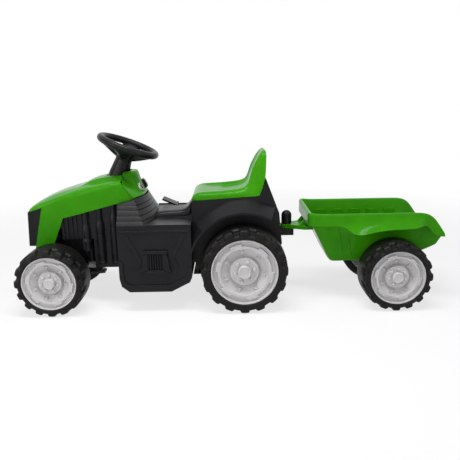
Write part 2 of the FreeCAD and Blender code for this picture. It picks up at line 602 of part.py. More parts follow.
def engine_outline(inset):
    """Side outline of the wide block; an inset opens it upwards for the hollow."""
    top = "0" if inset == "0" else "overrun + wall"
    return [(f"cowl_front_x + {inset}", f"engine_base_z + {inset}"),
            (f"engine_step_x - {inset}", f"engine_base_z + {inset}"),
            (f"engine_step_x - {inset}", f"engine_clear_z + {inset}"),
            (f"engine_front_x - {inset}", f"engine_clear_z + {inset}"),
            (f"engine_front_x - {inset}", f"engine_top_front_z + {top}"),
            (f"cowl_front_x + {inset}", f"engine_top_rear_z + {top}")]


def nose_outline(inset):
    """Side outline of the narrow nose under the hood."""
    top = "engine_clear_z" if inset == "0" else "engine_clear_z + overrun + wall"
    return [(f"engine_step_x - column_pitch / 2 + {inset}", f"{NOSE_BASE} + {inset}"),
            (f"nose_front_x - {inset}", f"{NOSE_BASE} + {inset}"), (f"nose_front_x - {inset}", top),
            (f"engine_step_x - column_pitch / 2 + {inset}", top)]


pad(engine, trace(new_sketch(engine, "XZ"), engine_outline("0")), "2 * engine_half")
pad(engine, trace(new_sketch(engine, "XZ"), nose_outline("0")), "2 * engine_nose_half")
# Three stepped columns on each side; the front one stands further in below the wheel's height
COLUMN_STEPS = (
    ("engine_column_base_z", "collar_low_z", "engine_column_r - wall / 2"),
    ("collar_low_z", "collar_low_z + collar_thick", "engine_column_r"),
    ("collar_low_z + collar_thick", "collar_high_z", "engine_column_r - wall"),
    ("collar_high_z", "collar_high_z + collar_thick", "engine_column_r - wall / 2"),
    ("collar_high_z + collar_thick", "engine_top_front_z", "engine_column_r - 2 * wall"),
)
for low, high, radius in COLUMN_STEPS:
    step = new_sketch(engine, "XY", low)
    for side_name, side in SIDES:
        for count in range(2):
            ring(step, f"first_engine_column_x + {count} * column_pitch",
                 f"{side} * (engine_half - engine_column_sunk)", radius)
    pad(engine, step, f"({high}) - ({low})", both_ways=False)
front_column = new_sketch(engine, "XY", "engine_clear_z")
for side_name, side in SIDES:
    ring(front_column, "first_engine_column_x + 2 * column_pitch",
         f"{side} * (engine_half - engine_column_sunk)",
         "engine_column_r - wall")
pad(engine, front_column, "engine_top_front_z - engine_clear_z", both_ways=False)
inner_column = new_sketch(engine, "XY", "engine_column_base_z")
for side_name, side in SIDES:
    ring(inner_column, "first_engine_column_x + 2 * column_pitch",
         f"{side} * (engine_lower_half - engine_column_sunk)",
         "engine_column_r - wall")
pad(engine, inner_column, "engine_clear_z - engine_column_base_z", both_ways=False)
for side_name, side in SIDES:
    ribs = new_sketch(engine, "XY", "engine_clear_z")
    for count in range(int(SIZES["rib_count"])):
        x = f"engine_front_x - rib_wide - {count} * rib_pitch"
        trace(ribs,
              [(x, f"{side} * (engine_half - wall)"), (f"{x} + rib_wide", f"{side} * (engine_half - wall)"),
                     (f"{x} + rib_wide", f"{side} * (engine_half + rib_proud)"),
                     (x, f"{side} * (engine_half + rib_proud)")])
    pad(engine, ribs, "engine_top_front_z - engine_clear_z", both_ways=False)
pocket(engine, trace(new_sketch(engine, "XZ"), engine_outline("wall")), "2 * engine_half - 2 * wall")
pocket(engine, trace(new_sketch(engine, "XZ"), nose_outline("wall")), "2 * engine_nose_half - 2 * wall")
node("engine_moulding", cut("engine_moulding", engine, [
    column_drill("bush_hole", "bush_r + fit_gap", f"-{BUSH_DROP} - bush_flange_r - overrun",
                 f"-{BUSH_DROP} + bush_flange_r + overrun")]))

# Hood: lofted through sections that run back from the nose, in shares of its length, half width and rise
HOOD_SHARES = [(0.0, 0.70, 0.590), (0.05, 0.88, 0.66), (0.155, 0.96, 0.72), (0.335, 1.0, 0.82),
               (0.477, 1.0, 0.89), (0.86, 0.98, 1.0), (1.0, 0.97, 1.03)]
HOOD_CROWN_SHARE = 0.035
HOOD_FOOT_SHARE = 0.9
BULGE_TOP_SHARE = 0.8
BULGE_SHARES = [(0.46, 0.30, 0.895), (0.56, 0.44, 1.01), (0.69, 0.50, 1.05), (0.90, 0.50, 1.065)]
BULGE_FOOT_SHARE = 0.12
HOOD_TOP = "hood_base_z + hood_rise"


def hood_sections(body, inset, stretch):
    """Cross sections of the hood, moved in by an inset and stretched past both ends for a cut."""
    sketches = []
    for along, wide, high in HOOD_SHARES:
        end = {HOOD_SHARES[0][0]: f"- {inset}", HOOD_SHARES[-1][0]: f"- {stretch}"}.get(along, "")
        half = f"hood_half * {wide} - {inset}"
        crease = f"hood_base_z + hood_rise * {high} - {inset}"
        foot = f"(hood_half * {wide} - {inset}) * {HOOD_FOOT_SHARE}"
        crown = f"hood_base_z + hood_rise * {high + HOOD_CROWN_SHARE} - {inset}"
        sketches.append(trace(new_sketch(body, "YZ", f"hood_front_x - hood_length * {along} {end}"), [
            (f"-({half})", crease), ("via", "0", crown), (half, crease), (foot, f"hood_base_z - {stretch}"),
            (f"-({foot})", f"hood_base_z - {stretch}")]))
    return sketches


hood = new_body("hood_body")
loft(hood, hood_sections(hood, "0", "0"))
bulge = []
for along, wide, high in BULGE_SHARES:
    half = f"hood_half * {wide}"
    low = f"hood_base_z + hood_rise * {high - BULGE_FOOT_SHARE}"
    top = f"hood_base_z + hood_rise * {high}"
    bulge.append(trace(new_sketch(hood, "YZ", f"hood_front_x - hood_length * {along}"), [
        (f"-({half})", low), (f"-({half}) * {BULGE_TOP_SHARE}", top), ("via", "0", f"{top} + wall"),
        (f"{half} * {BULGE_TOP_SHARE}", top), (half, low)]))
loft(hood, bulge)
loft(hood, hood_sections(hood, "wall", "overrun"), subtract=True)
BELOW = "hood_base_z - 2 * overrun"
BEHIND = "hood_front_x - hood_length - 2 * overrun"
AHEAD = "hood_front_x + overrun"
pocket(hood, trace(new_sketch(hood, "XZ"), [
    ("hood_edge_front_x", "hood_edge_front_z"), ("seam_low_x", "seam_low_z"), (BEHIND, "seam_low_z"),
    (BEHIND, BELOW),
    (AHEAD, BELOW), (AHEAD, "leg_base_z"), ("leg_rear_x", "leg_base_z")]), "3 * hood_half")
pocket(hood, trace(new_sketch(hood, "XZ"), [
    ("seam_low_x", "seam_low_z - overrun"), ("seam_low_x", "seam_low_z"), ("seam_high_x", "seam_high_z"),
    ("seam_high_x", f"{HOOD_TOP} + hood_rise"), (BEHIND, f"{HOOD_TOP} + hood_rise"),
    (BEHIND, "seam_low_z - overrun")]),
    "3 * hood_half")
GRILLE_TOP_FRONT_Z = f"hood_base_z + hood_rise * {HOOD_SHARES[0][2]} - wall"
pocket(hood, trace(new_sketch(hood, "XZ"), [
    ("grille_top_rear_x", "grille_top_rear_z"), (AHEAD, GRILLE_TOP_FRONT_Z), (AHEAD, "grille_base_z"),
    ("grille_base_rear_x", "grille_base_z")]), "3 * hood_half")
node("hood", cut("hood", hood, [column_drill("hood_hole", "neck_hole_r", "-neck_base - neck_hole_r", "0")]))

# Grille: the hood's own nose form, set in a little and trimmed to the opening
grille = new_body("front_grille")
loft(grille, hood_sections(grille, "grille_inset", "0"))
loft(grille, hood_sections(grille, "(grille_inset + wall)", "overrun"), subtract=True)
pocket(grille, trace(new_sketch(grille, "XZ"), [
    ("grille_top_rear_x + run_gap", "grille_top_rear_z - run_gap"),
    (AHEAD, f"{GRILLE_TOP_FRONT_Z} - run_gap"),
    (AHEAD, f"{HOOD_TOP} + hood_rise"), (BEHIND, f"{HOOD_TOP} + hood_rise"), (BEHIND, BELOW),
    (AHEAD, BELOW), (AHEAD, "grille_base_z + run_gap"),
    ("grille_base_rear_x + run_gap", "grille_base_z + run_gap")]),
    "3 * hood_half")
slats = new_sketch(grille, "YZ", "hood_front_x + overrun")
SLAT_START_SHARE = 0.4
for count in range(int(SIZES["slat_count"])):
    base = f"grille_base_z + slat_pitch * {count + SLAT_START_SHARE}"
    trace(slats, [("-slat_half", base), ("slat_half", base), ("slat_half", f"{base} + slat_tall"),
                  ("-slat_half", f"{base} + slat_tall")])
pocket(grille, slats, "overrun + grille_inset + 2 * wall", both_ways=False)
node("front_grille", grille)

# Main body: open box with footboards on top and hanging side panels, low tunnel, cowl in front
PANEL_SHARES = [(1, 1), (1, 0.21), (0.974, 0.09), (0.87, 0), (0.29, 0), (0.03, 0.14), (0, 0.22), (0, 1)]
main_body = new_body("main_body")
panel_long = "cowl_front_x - panel_rear_x"
panel_tall = "floor_z - panel_base_z"
pad(main_body, trace(new_sketch(main_body, "XZ"),
    by_shares(PANEL_SHARES, "panel_rear_x", panel_long, "panel_base_z", panel_tall)), "2 * body_half")
pocket(main_body, trace(new_sketch(main_body, "XZ"), [
    ("panel_rear_x + wall", "floor_z - wall"), ("cowl_front_x - wall", "floor_z - wall"),
    ("cowl_front_x - wall", "panel_base_z - overrun"), ("panel_rear_x + wall", "panel_base_z - overrun")]),
    "2 * body_half - 2 * wall")


def cowl_sections(inset, low, high):
    """Plan outlines of the cowl at its foot and its top, with a bowed rear face."""
    rows = (("floor_z", low, "body_half", "cowl_foot_corner_x", "cowl_foot_centre_x"),
            ("cowl_top_z", high, "cowl_top_half", "cowl_top_corner_x", "cowl_top_centre_x"))
    sketches = []
    for level, shift, half, corner, centre in rows:
        edge = f"{half} - {inset}"
        sketches.append(trace(new_sketch(main_body, "XY", f"{level} + {shift}"), [
            (f"cowl_front_x - {inset}", f"-({edge})"), (f"cowl_front_x - {inset}", edge),
            (f"{corner} + {inset}", edge),
            ("via", f"{centre} + {inset}", "0"), (f"{corner} + {inset}", f"-({edge})")]))
    return sketches


loft(main_body, cowl_sections("0", "0", "0"))
loft(main_body, cowl_sections("wall", "0", "overrun"), subtract=True)
EDGE_DROP = "(seam_low_z - hood_edge_front_z) / (hood_edge_front_x - seam_low_x)"
pocket(main_body, trace(new_sketch(main_body, "XZ"), [
    ("seam_low_x", "seam_low_z - run_gap"),
    ("cowl_front_x + overrun", f"seam_low_z - run_gap - (cowl_front_x + overrun - seam_low_x) * {EDGE_DROP}"),
    ("cowl_front_x + overrun", "cowl_top_z + overrun"), ("seam_low_x", "cowl_top_z + overrun")]),
    "3 * cowl_top_half")
TUNNEL_SHARES = [(1, 0), (0.9, 1), (-0.9, 1), (-1, 0)]
tunnel = trace(new_sketch(main_body, "YZ", "panel_rear_x"),
               by_shares(TUNNEL_SHARES, "0", "tunnel_half", "floor_z", "tunnel_tall"))
pad(main_body, tunnel, "tunnel_front_x - panel_rear_x", both_ways=False)
VENT_SHARES = [(0.0, 0.0), (0.1, 0.62), (0.16, 1.0), (0.84, 1.0), (0.9, 0.62), (1.0, 0.0)]
vent = trace(new_sketch(main_body, "XZ", "-body_half + wall"),
             by_shares(VENT_SHARES, "vent_rear_x", "vent_front_x - vent_rear_x", "vent_base_z",
                       "vent_top_z - vent_base_z"))
vent_block = pad(main_body, vent, "vent_proud + wall", both_ways=False)
vent_block.Reversed = True
slots = new_sketch(main_body, "XZ", "-body_half - vent_proud")
VENT_SLOT_SHARES = (0.15, 0.85)
SLOT_MIDDLE_SHARE = 0.5
vent_tall = "(vent_top_z - vent_base_z)"
for count in range(int(SIZES["vent_slot_count"])):
    slot_turn = f"({count} - vent_slot_count / 2 + {SLOT_MIDDLE_SHARE})"
    x = f"(vent_rear_x + vent_front_x) / 2 + vent_slot_pitch * {slot_turn} - vent_slot_wide / 2"
    trace(slots,
          [(x, f"vent_base_z + {vent_tall} * {VENT_SLOT_SHARES[0]}"),
           (f"{x} + vent_slot_wide", f"vent_base_z + {vent_tall} * {VENT_SLOT_SHARES[0]}"),
           (f"{x} + vent_slot_wide", f"vent_base_z + {vent_tall} * {VENT_SLOT_SHARES[1]}"),
                  (x, f"vent_base_z + {vent_tall} * {VENT_SLOT_SHARES[1]}")])
vent_slots = pocket(main_body, slots, "vent_proud", both_ways=False, reverse=True)
sill = trace(new_sketch(main_body, "XZ", "-body_half + wall"), [
    ("panel_rear_x", "floor_z - sill_tall"), ("cowl_foot_corner_x", "floor_z - sill_tall"),
    ("cowl_foot_corner_x", "floor_z"), ("panel_rear_x", "floor_z")])
sill_step = pad(main_body, sill, "sill_proud + wall", both_ways=False)
sill_step.Reversed = True
mirror(main_body, [vent_block, vent_slots, sill_step], "XZ")
node("main_body", main_body)

# Dashboard: low shelf behind the hood's slanted seam, with a hump at its middle for the switches
dash = new_body("dashboard_body")
SEAM_SLOPE = "(seam_high_x - seam_low_x) / (seam_high_z - seam_low_z)"
SHELF_ROWS = (("cowl_top_z", "cowl_top_half", "cowl_top_corner_x", "cowl_top_centre_x"),
              ("shelf_top_z", "shelf_top_half", "shelf_corner_x", "shelf_centre_x"))
HUMP_ROWS = (("cowl_top_z", "hump_base_half", "hump_corner_x", "cowl_top_centre_x + wall"),
             ("dash_mid_z", "hump_mid_half", "hump_mid_corner_x", "hump_mid_centre_x"),
             ("dash_top_z", "hump_top_half", "hump_top_corner_x", "hump_top_centre_x"))


def dash_sections(rows, inset, shifts):
    """Plan outlines with a bowed rear edge; the front edges lie along the hood's seam."""
    sketches = []
    for (level, half, corner, centre), shift in zip(rows, shifts):
        seam = f"seam_low_x + ({level} {shift} - seam_low_z) * {SEAM_SLOPE}"
        front = f"min({seam}; seam_high_x) - run_gap - {inset}"
        edge = f"{half} - {inset}"
        sketches.append(trace(new_sketch(dash, "XY", f"{level} {shift}"), [
            (front, f"-({edge})"), (front, edge), (f"{corner} + {inset}", edge),
            ("via", f"{centre} + {inset}", "0"), (f"{corner} + {inset}", f"-({edge})")]))
    return sketches


loft(dash, dash_sections(SHELF_ROWS, "0", ("", "")))
loft(dash, dash_sections(HUMP_ROWS, "0", ("", "", "")))
loft(dash, dash_sections(HUMP_ROWS, "wall", ("- overrun", "", "- wall")), subtract=True)


def on_dash(piece, x="0", y="0", z="0"):
    """Lean a piece drawn flat onto the dashboard's rear face, where its z runs out of the face."""
    share = "(dash_button_z - cowl_top_z) / (dash_mid_z - cowl_top_z)"
    face_x = f"cowl_top_centre_x + dash_bow + (hump_mid_centre_x - cowl_top_centre_x) * {share}"
    return place(piece, f"{face_x} + ({x}) * cos(dash_face_lean) - ({z}) * sin(dash_face_lean)", y,
                 f"dash_button_z + ({x}) * sin(dash_face_lean) + ({z}) * cos(dash_face_lean)",
                 (0, -1, 0), "dash_face_lean")


def face_rod(name, radius, low, high, y):
    item = doc.addObject("Part::Cylinder", name)
    item.setExpression("Radius", bound(radius))
    item.setExpression("Height", bound(f"({high}) - ({low})"))
    return on_dash(item, "0", y, low)


def face_box(name, half_long, half_wide, low, high, y):
    item = doc.addObject("Part::Box", name)
    item.setExpression("Length", bound(f"2 * ({half_long})"))
    item.setExpression("Width", bound(f"2 * ({half_wide})"))
    item.setExpression("Height", bound(f"({high}) - ({low})"))
    return on_dash(item, f"-({half_long})", f"{y} - ({half_wide})", low)


BEZEL_BACK = "bezel_proud - bezel_long"
HOUSING_LONG = "switch_half + 5 * run_gap + wall"
HOUSING_WIDE = "switch_wide_half + run_gap + wall"
node("dashboard", cut("dashboard", dash, [
    column_drill("dash_hole", "neck_hole_r", "-neck_base - neck_hole_r", "0"),
    face_rod("bezel_hole", "bezel_r + fit_gap", f"{BEZEL_BACK} - overrun", "bezel_proud + overrun",
             "dash_button_y"),
    face_box("housing_hole", f"{HOUSING_LONG} + fit_gap", f"{HOUSING_WIDE} + fit_gap",
             f"{BEZEL_BACK} - overrun", "bezel_proud + overrun", "-dash_button_y")]))

# Push button in its pale surround, with a floor behind it that the spring stands on
BUTTON_FLOOR = f"{BEZEL_BACK} + wall"
node("button_bezel",
     cut("button_bezel", face_rod("bezel_solid", "bezel_r", BEZEL_BACK, "bezel_proud", "dash_button_y"), [
    face_rod("bezel_bore", "button_r + run_gap", BUTTON_FLOOR, "bezel_proud + overrun", "dash_button_y")]))
node("power_button", face_rod("power_button", "button_r", f"{BUTTON_FLOOR} + button_travel + run_gap",
                              "bezel_proud + button_travel", "dash_button_y"))

# Forward and reverse rocker on a cross pin in its housing
switch_axle = doc.addObject("Part::Cylinder", "switch_axle")
switch_axle.setExpression("Radius", bound("switch_pin_r"))
switch_axle.setExpression("Height", bound(f"2 * ({HOUSING_WIDE})"))
switch_bore = doc.addObject("Part::Cylinder", "switch_bore")
switch_bore.setExpression("Radius", bound("switch_pin_r + fit_gap"))
switch_bore.setExpression("Height", bound(f"2 * ({HOUSING_WIDE}) + 2 * overrun"))
share = "(dash_button_z - cowl_top_z) / (dash_mid_z - cowl_top_z)"
SWITCH_X = f"(cowl_top_centre_x + dash_bow + (hump_mid_centre_x - cowl_top_centre_x) * {share}"
SWITCH_X += " + switch_pin_deep * sin(dash_face_lean))"
SWITCH_Z = "(dash_button_z - switch_pin_deep * cos(dash_face_lean))"
for pin, half in ((switch_axle, HOUSING_WIDE), (switch_bore, f"{HOUSING_WIDE} + overrun")):
    pin.Placement.Rotation = FreeCAD.Rotation(FreeCAD.Vector(*TURNS["Y"][0]), TURNS["Y"][1])
    for letter, text in (("x", SWITCH_X), ("y", f"-dash_button_y - ({half})"), ("z", SWITCH_Z)):
        pin.setExpression(f"Placement.Base.{letter}", bound(text))
HOUSING_BACK = f"{BEZEL_BACK} - wall"
node("switch_housing", cut("switch_housing",
     face_box("housing_solid", HOUSING_LONG, HOUSING_WIDE, HOUSING_BACK, "bezel_proud", "-dash_button_y"), [
         face_box("housing_well", "switch_half + 5 * run_gap", "switch_wide_half + run_gap",
                  f"{HOUSING_BACK} + wall / 2", "bezel_proud + overrun", "-dash_button_y"), switch_bore]))
node("drive_switch", fuse("drive_switch", [
    face_box("rocker", "switch_half", "switch_wide_half", f"-switch_pin_deep - switch_pin_r",
             "bezel_proud + switch_tip",
             "-dash_button_y"), switch_axle]))

# Rear body: hollow core under the seat with wheel wells, fender flares and bosses for the cover screws
CORE = [("panel_rear_x", "core_base_z"), ("panel_rear_x", "seat_edge_front_z"),
        ("seat_edge_rear_x", "seat_edge_rear_z"),
        ("tail_top_x", "tail_top_z"), ("tail_mid_x", "tail_mid_z"), ("tail_x", "tail_base_z"),
        ("core_rear_x", "core_base_z")]
CORE_HOLLOW = [("panel_rear_x - wall", "core_base_z - overrun"),
               ("panel_rear_x - wall", "seat_edge_front_z - wall"),
               ("seat_edge_rear_x - wall / 2", "seat_edge_rear_z - wall"),
               ("tail_top_x", "tail_top_z - 4 * wall"),
               ("tail_mid_x + wall", "tail_mid_z"), ("tail_x + wall", "tail_base_z"),
               ("core_rear_x + wall", "core_base_z"),
               ("core_rear_x + wall", "core_base_z - overrun")]
core = new_body("rear_core")
pad(core, trace(new_sketch(core, "XZ"), CORE), "2 * core_half")
for side_name, side in SIDES:
    arch = ring(new_sketch(core, "XZ", f"-{side} * well_half"), "rear_axle_x", "arch_centre_z", "arch_r")
    pocket(core, arch, "core_half - well_half + overrun", both_ways=False, reverse=side < 0)
pocket(core, trace(new_sketch(core, "XZ"), CORE_HOLLOW), "2 * well_half - 2 * wall")
FLARE_SHARES = [(0, 1), (0.45, 0.62), (1, 0)]
rear_pieces = [core]
for side_name, side in SIDES:
    flare = new_body(f"flare_{side_name}")
    outer = [(f"arch_r + flare_crest * {up}",
              f"{side} * (well_half + (body_half - well_half) * {out})") for out, up in FLARE_SHARES]
    inner = [(f"{x} + flare_wall", y) for x, y in reversed(outer)]
    turn = revolve(flare, trace(new_sketch(flare, "XY"), outer + inner), "flare_sweep")
    turn.Reversed = True
    place(flare, "rear_axle_x", "0", "arch_centre_z", (0, -1, 0), "flare_front_angle")
    ahead = box(f"ahead_of_flare_{side_name}", ("panel_rear_x", "panel_rear_x + arch_r"),
                span(side, "0", "2 * body_half"), ("0", "2 * arch_r + arch_centre_z"))
    rear_pieces.append(cut(f"flare_trimmed_{side_name}", flare, [ahead]))
SCREW_SPOTS = [(x, side) for x in ("panel_rear_x - 3 * boss_half",
                                   "core_rear_x + 3 * boss_half") for side_name, side in SIDES]
SCREW_Y = "well_half - wall - boss_half"
screws = []
screw_holes = []
for count, (x, side) in enumerate(SCREW_SPOTS):
    y = f"{side} * ({SCREW_Y})"
    rear_pieces.append(box(f"screw_boss_{count}", (f"{x} - boss_half", f"{x} + boss_half"),
                           span(side, f"{SCREW_Y} - boss_half", "well_half - wall / 2"),
                           ("core_base_z", "core_base_z + boss_tall")))
    low = "core_base_z - cover_thick"
    shank = rod(f"screw_shank_{count}", "screw_r", "Z", low, f"{low} + screw_long", x, y)
    head = rod(f"screw_head_{count}", "screw_head_r", "Z", f"{low} - screw_head", low, x, y)
    screws.append(fuse(f"screw_{count}", [shank, head]))
    screw_holes.append(rod(f"screw_hole_{count}", "screw_r + fit_gap", "Z", f"{low} - overrun",
                           f"{low} + screw_long + run_gap", x, y))
REAR_AXLE = {"x": "rear_axle_x", "z": "rear_tyre_r"}
tow_opening = box("tow_opening", ("tail_x - overrun", "tail_mid_x + 4 * wall"),
                  ("-tow_bar_half", "tow_bar_half"),
                  ("tow_bar_base_z", "tow_bar_top_z"))
node("rear_body", cut("rear_body", fuse("rear_solid", rear_pieces), screw_holes + [
    rod("axle_hole", "axle_r + fit_gap", "Y", "-core_half", "core_half", **REAR_AXLE),
    rod("dog_hole", "dog_hole_r", "Y", "-core_half", "0", **REAR_AXLE), tow_opening]))
node("cover_screws", group("cover_screws", screws))
cover = box("cover_plate", ("core_rear_x", "panel_rear_x"), ("-well_half", "well_half"),
            ("core_base_z - cover_thick", "core_base_z"))
node("underside_cover", cut("underside_cover", cover, [
    rod(f"cover_hole_{count}", "screw_r + fit_gap", "Z", "core_base_z - cover_thick - overrun",
        "core_base_z + overrun",
        x, f"{side} * ({SCREW_Y})") for count, (x, side) in enumerate(SCREW_SPOTS)]))

# Seat: shell over the rear body with a recessed pan and a backrest that narrows upwards
SEAT_BACK_SHARES = [(1.02, -0.09), (0.78, 0.34), (0.32, 0.84), (0.16, 0.96), (0, 1), (-0.14, 0.9)]
SEAT = [("seat_front_x", "seat_edge_front_z + run_gap"), ("seat_front_x - wall / 2", "seat_lip_z"),
        ("seat_front_x - 4 * wall", "seat_rim_z - wall"), ("seat_roll_x", "seat_rim_z"),
        ("seat_bend_x", "seat_rim_z + 3 * wall")]
SEAT += by_shares(SEAT_BACK_SHARES, "seat_back_x", "seat_back_thick", "tail_top_z",
                  "(seat_top_z - tail_top_z)")
SEAT += [("tail_top_x + run_gap", "tail_top_z"), ("seat_edge_rear_x + run_gap", "seat_edge_rear_z + run_gap")]
SEAT_HOLLOW = [("seat_front_x - 2 * wall", "seat_edge_front_z - overrun"),
               ("seat_front_x - 2 * wall", "seat_lip_z - wall"),
               ("seat_roll_x", "seat_pan_z - wall"), ("seat_bend_x", "seat_pan_z - wall"),
               ("seat_edge_rear_x + 4 * wall", "seat_edge_rear_z + 2 * wall"),
               ("seat_edge_rear_x + 2 * wall", "seat_edge_rear_z - overrun")]
seat = new_body("seat")
pad(seat, trace(new_sketch(seat, "XZ"), SEAT), "2 * seat_half")
pocket(seat, trace(new_sketch(seat, "XZ"), SEAT_HOLLOW), "2 * seat_rim_half - 2 * wall")
pocket(seat, trace(new_sketch(seat, "XZ"), [
    ("pan_front_x", "seat_rim_z + overrun"), ("pan_front_x - wall", "seat_pan_z"),
    ("pan_rear_x", "seat_pan_z"),
    ("pan_rear_x - 2 * wall", "seat_rim_z + 4 * overrun")]), "2 * pan_half")
for side_name, side in SIDES:
    pocket(seat, trace(new_sketch(seat, "YZ", "seat_back_x - seat_half"), [
        (f"{side} * (seat_half + overrun)", "seat_lip_z - wall"),
        (f"{side} * seat_half", "seat_lip_z - wall"),
        (f"{side} * (seat_half - 2 * wall)", "seat_lip_z + wall"),
        (f"{side} * (seat_rim_half + 2 * wall)", "seat_rim_z"),
        (f"{side} * seat_rim_half", "seat_rim_z + 3 * wall"), (f"{side} * seat_top_half", "seat_top_z"),
        (f"{side} * seat_top_half", "seat_top_z + overrun"),
        (f"{side} * (seat_half + overrun)", "seat_top_z + overrun")]),
        "4 * seat_half", both_ways=False, reverse=True)
node("seat", seat)

# Tow bar through the tail, and the domed pin that couples the trailer
node("tow_bar",
     cut("tow_bar",
         box("tow_bar_solid", ("tow_bar_end_x", "tail_mid_x + 4 * wall"), ("-tow_bar_half", "tow_bar_half"),
                                   ("tow_bar_base_z", "tow_bar_top_z")), [
    rod("tow_bore", "hitch_pin_r + fit_gap", "Z", "tow_bar_base_z - overrun", "tow_bar_top_z + overrun",
        "hitch_x")]))
HITCH_HEAD_Z = "tow_bar_top_z + tongue_thick + 2 * run_gap"
pin = new_body("hitch_pin")
revolve(pin, trace(new_sketch(pin, "XZ"), [
    ("0", "tow_bar_base_z"), ("hitch_pin_r", "tow_bar_base_z"), ("hitch_pin_r", HITCH_HEAD_Z),
    ("hitch_head_r", HITCH_HEAD_Z),
    ("hitch_head_r", f"{HITCH_HEAD_Z} + hitch_head_tall - hitch_head_r"),
    ("via", "hitch_head_r * sin(45)", f"{HITCH_HEAD_Z} + hitch_head_tall - hitch_head_r * (1 - cos(45))"),
    ("0", f"{HITCH_HEAD_Z} + hitch_head_tall")]))
node("hitch_pin", place(pin, "hitch_x"))

# Under the seat: battery, control box, gearbox round the rear axle, motor, drive dog on the right wheel
node("battery", box("battery", ("battery_rear_x", "battery_rear_x + battery_long"),
                    ("battery_right_y", "battery_right_y + battery_wide"),
                    ("core_base_z", "core_base_z + battery_tall")))
node("control_box", box("control_box", ("battery_rear_x", "battery_rear_x + control_long"),
                        ("battery_right_y - wall - control_wide", "battery_right_y - wall"),
                        ("core_base_z", "core_base_z + control_tall")))
GEARBOX_OUT = "-well_half + 2 * wall"
node("gearbox",
     cut("gearbox", box("gearbox_solid", ("rear_axle_x - gearbox_long / 2", "rear_axle_x + gearbox_long / 2"),
                                   (GEARBOX_OUT, f"{GEARBOX_OUT} + gearbox_wide"),
                                   ("core_base_z", "core_base_z + gearbox_tall")), [
    rod("gearbox_bore", "axle_r + fit_gap", "Y", "-core_half", "0", **REAR_AXLE)]))
node("drive_motor",
     rod("drive_motor", "motor_r", "Y", f"{GEARBOX_OUT} + gearbox_wide",
         f"{GEARBOX_OUT} + gearbox_wide + motor_long",
                        x="rear_axle_x", z="motor_z"))
REAR_HUB_BACK = "track_half - rear_tyre_w + hub_inset"
node("drive_dog",
     cut("drive_dog",
         rod("dog_solid", "dog_r", "Y", f"-({REAR_HUB_BACK})", f"{GEARBOX_OUT} - run_gap", **REAR_AXLE), [
    rod("dog_bore", "axle_r + fit_gap", "Y", f"-({REAR_HUB_BACK}) - overrun", f"{GEARBOX_OUT} + overrun",
        **REAR_AXLE)]))
axle_pieces = [rod("rear_axle_rod", "axle_r", "Y", f"-({STUB_END})", STUB_END, **REAR_AXLE)]
axle_pieces.append(rod("rear_axle_collar", "washer_r", "Y", "well_half", f"{REAR_HUB_BACK} - run_gap",
                       **REAR_AXLE))
for side_name, side in SIDES:
    axle_pieces.append(rod(f"rear_axle_head_{side_name}", "washer_r", "Y", *span(side, HEAD_BACK, STUB_END),
                           **REAR_AXLE))
node("rear_axle", fuse("rear_axle", axle_pieces))

# Accelerator pedal on the right footboard, hinged at its heel
PEDAL = {"x": "pedal_heel_x", "z": "floor_z + pedal_axis_up"}
EAR_IN = "pedal_half + run_gap"
EAR_OUT = "pedal_half + run_gap + pedal_ear"
bracket_pieces = [box("pedal_base", ("pedal_heel_x - pedal_barrel_r", "pedal_heel_x + pedal_barrel_r"),
                      (f"pedal_y - ({EAR_OUT})", f"pedal_y + {EAR_OUT}"),
                      ("floor_z", "floor_z + pedal_base_thick"))]
for side_name, side in SIDES:
    near, far = span(side, EAR_IN, EAR_OUT)
    bracket_pieces.append(box(f"pedal_ear_{side_name}",
                              ("pedal_heel_x - pedal_barrel_r", "pedal_heel_x + pedal_barrel_r"),
                              (f"pedal_y + {near}", f"pedal_y + {far}"),
                              ("floor_z", "floor_z + pedal_axis_up + pedal_barrel_r")))
node("pedal_bracket", cut("pedal_bracket", fuse("pedal_bracket_solid", bracket_pieces), [
    rod("ear_bore", "pedal_pin_r + fit_gap", "Y", f"pedal_y - 2 * ({EAR_OUT})",
        f"pedal_y + 2 * ({EAR_OUT})", **PEDAL)]))
node("pedal_pin",
     rod("pedal_pin", "pedal_pin_r", "Y", f"pedal_y - ({EAR_OUT})", f"pedal_y + {EAR_OUT}", **PEDAL))
pedal = new_body("accelerator_pedal")
pad(pedal, ring(new_sketch(pedal, "XZ"), "0", "0", "pedal_barrel_r"), "2 * pedal_half")
pad(pedal, trace(new_sketch(pedal, "XZ"), [
    ("0", "pedal_barrel_r - pedal_thick"), ("pedal_long", "pedal_barrel_r - pedal_thick"),
    ("pedal_long", "pedal_barrel_r"),
    ("0", "pedal_barrel_r")]), "2 * pedal_half")
pocket(pedal, ring(new_sketch(pedal, "XZ"), "0", "0", "pedal_pin_r + fit_gap"), "3 * pedal_half")
node("accelerator_pedal",
     place(pedal, "pedal_heel_x", "pedal_y", "floor_z + pedal_axis_up", (0, -1, 0), "pedal_angle"))

# Trailer tub: tapered open shell under a rolled rim with skirt, wheel flares and inner wall pads
TAIL_SHARES = [(1.0, 0.554), (0.959, 0.663), (0.907, 0.886), (0.861, 0.976), (0.809, 1.0)]
TUB_SHARES = [(0.0, 1.0), (0.05, 0.37), (0.14, 0.04), (0.2, 0.0), (0.665, 0.0), (0.857, 0.247),
              (0.986, 0.452)]
TUB_SHARES += TAIL_SHARES
tub_long = "(tub_tail_x - tub_front_x)"
tub_tall = "(tub_top_z - tub_base_z)"


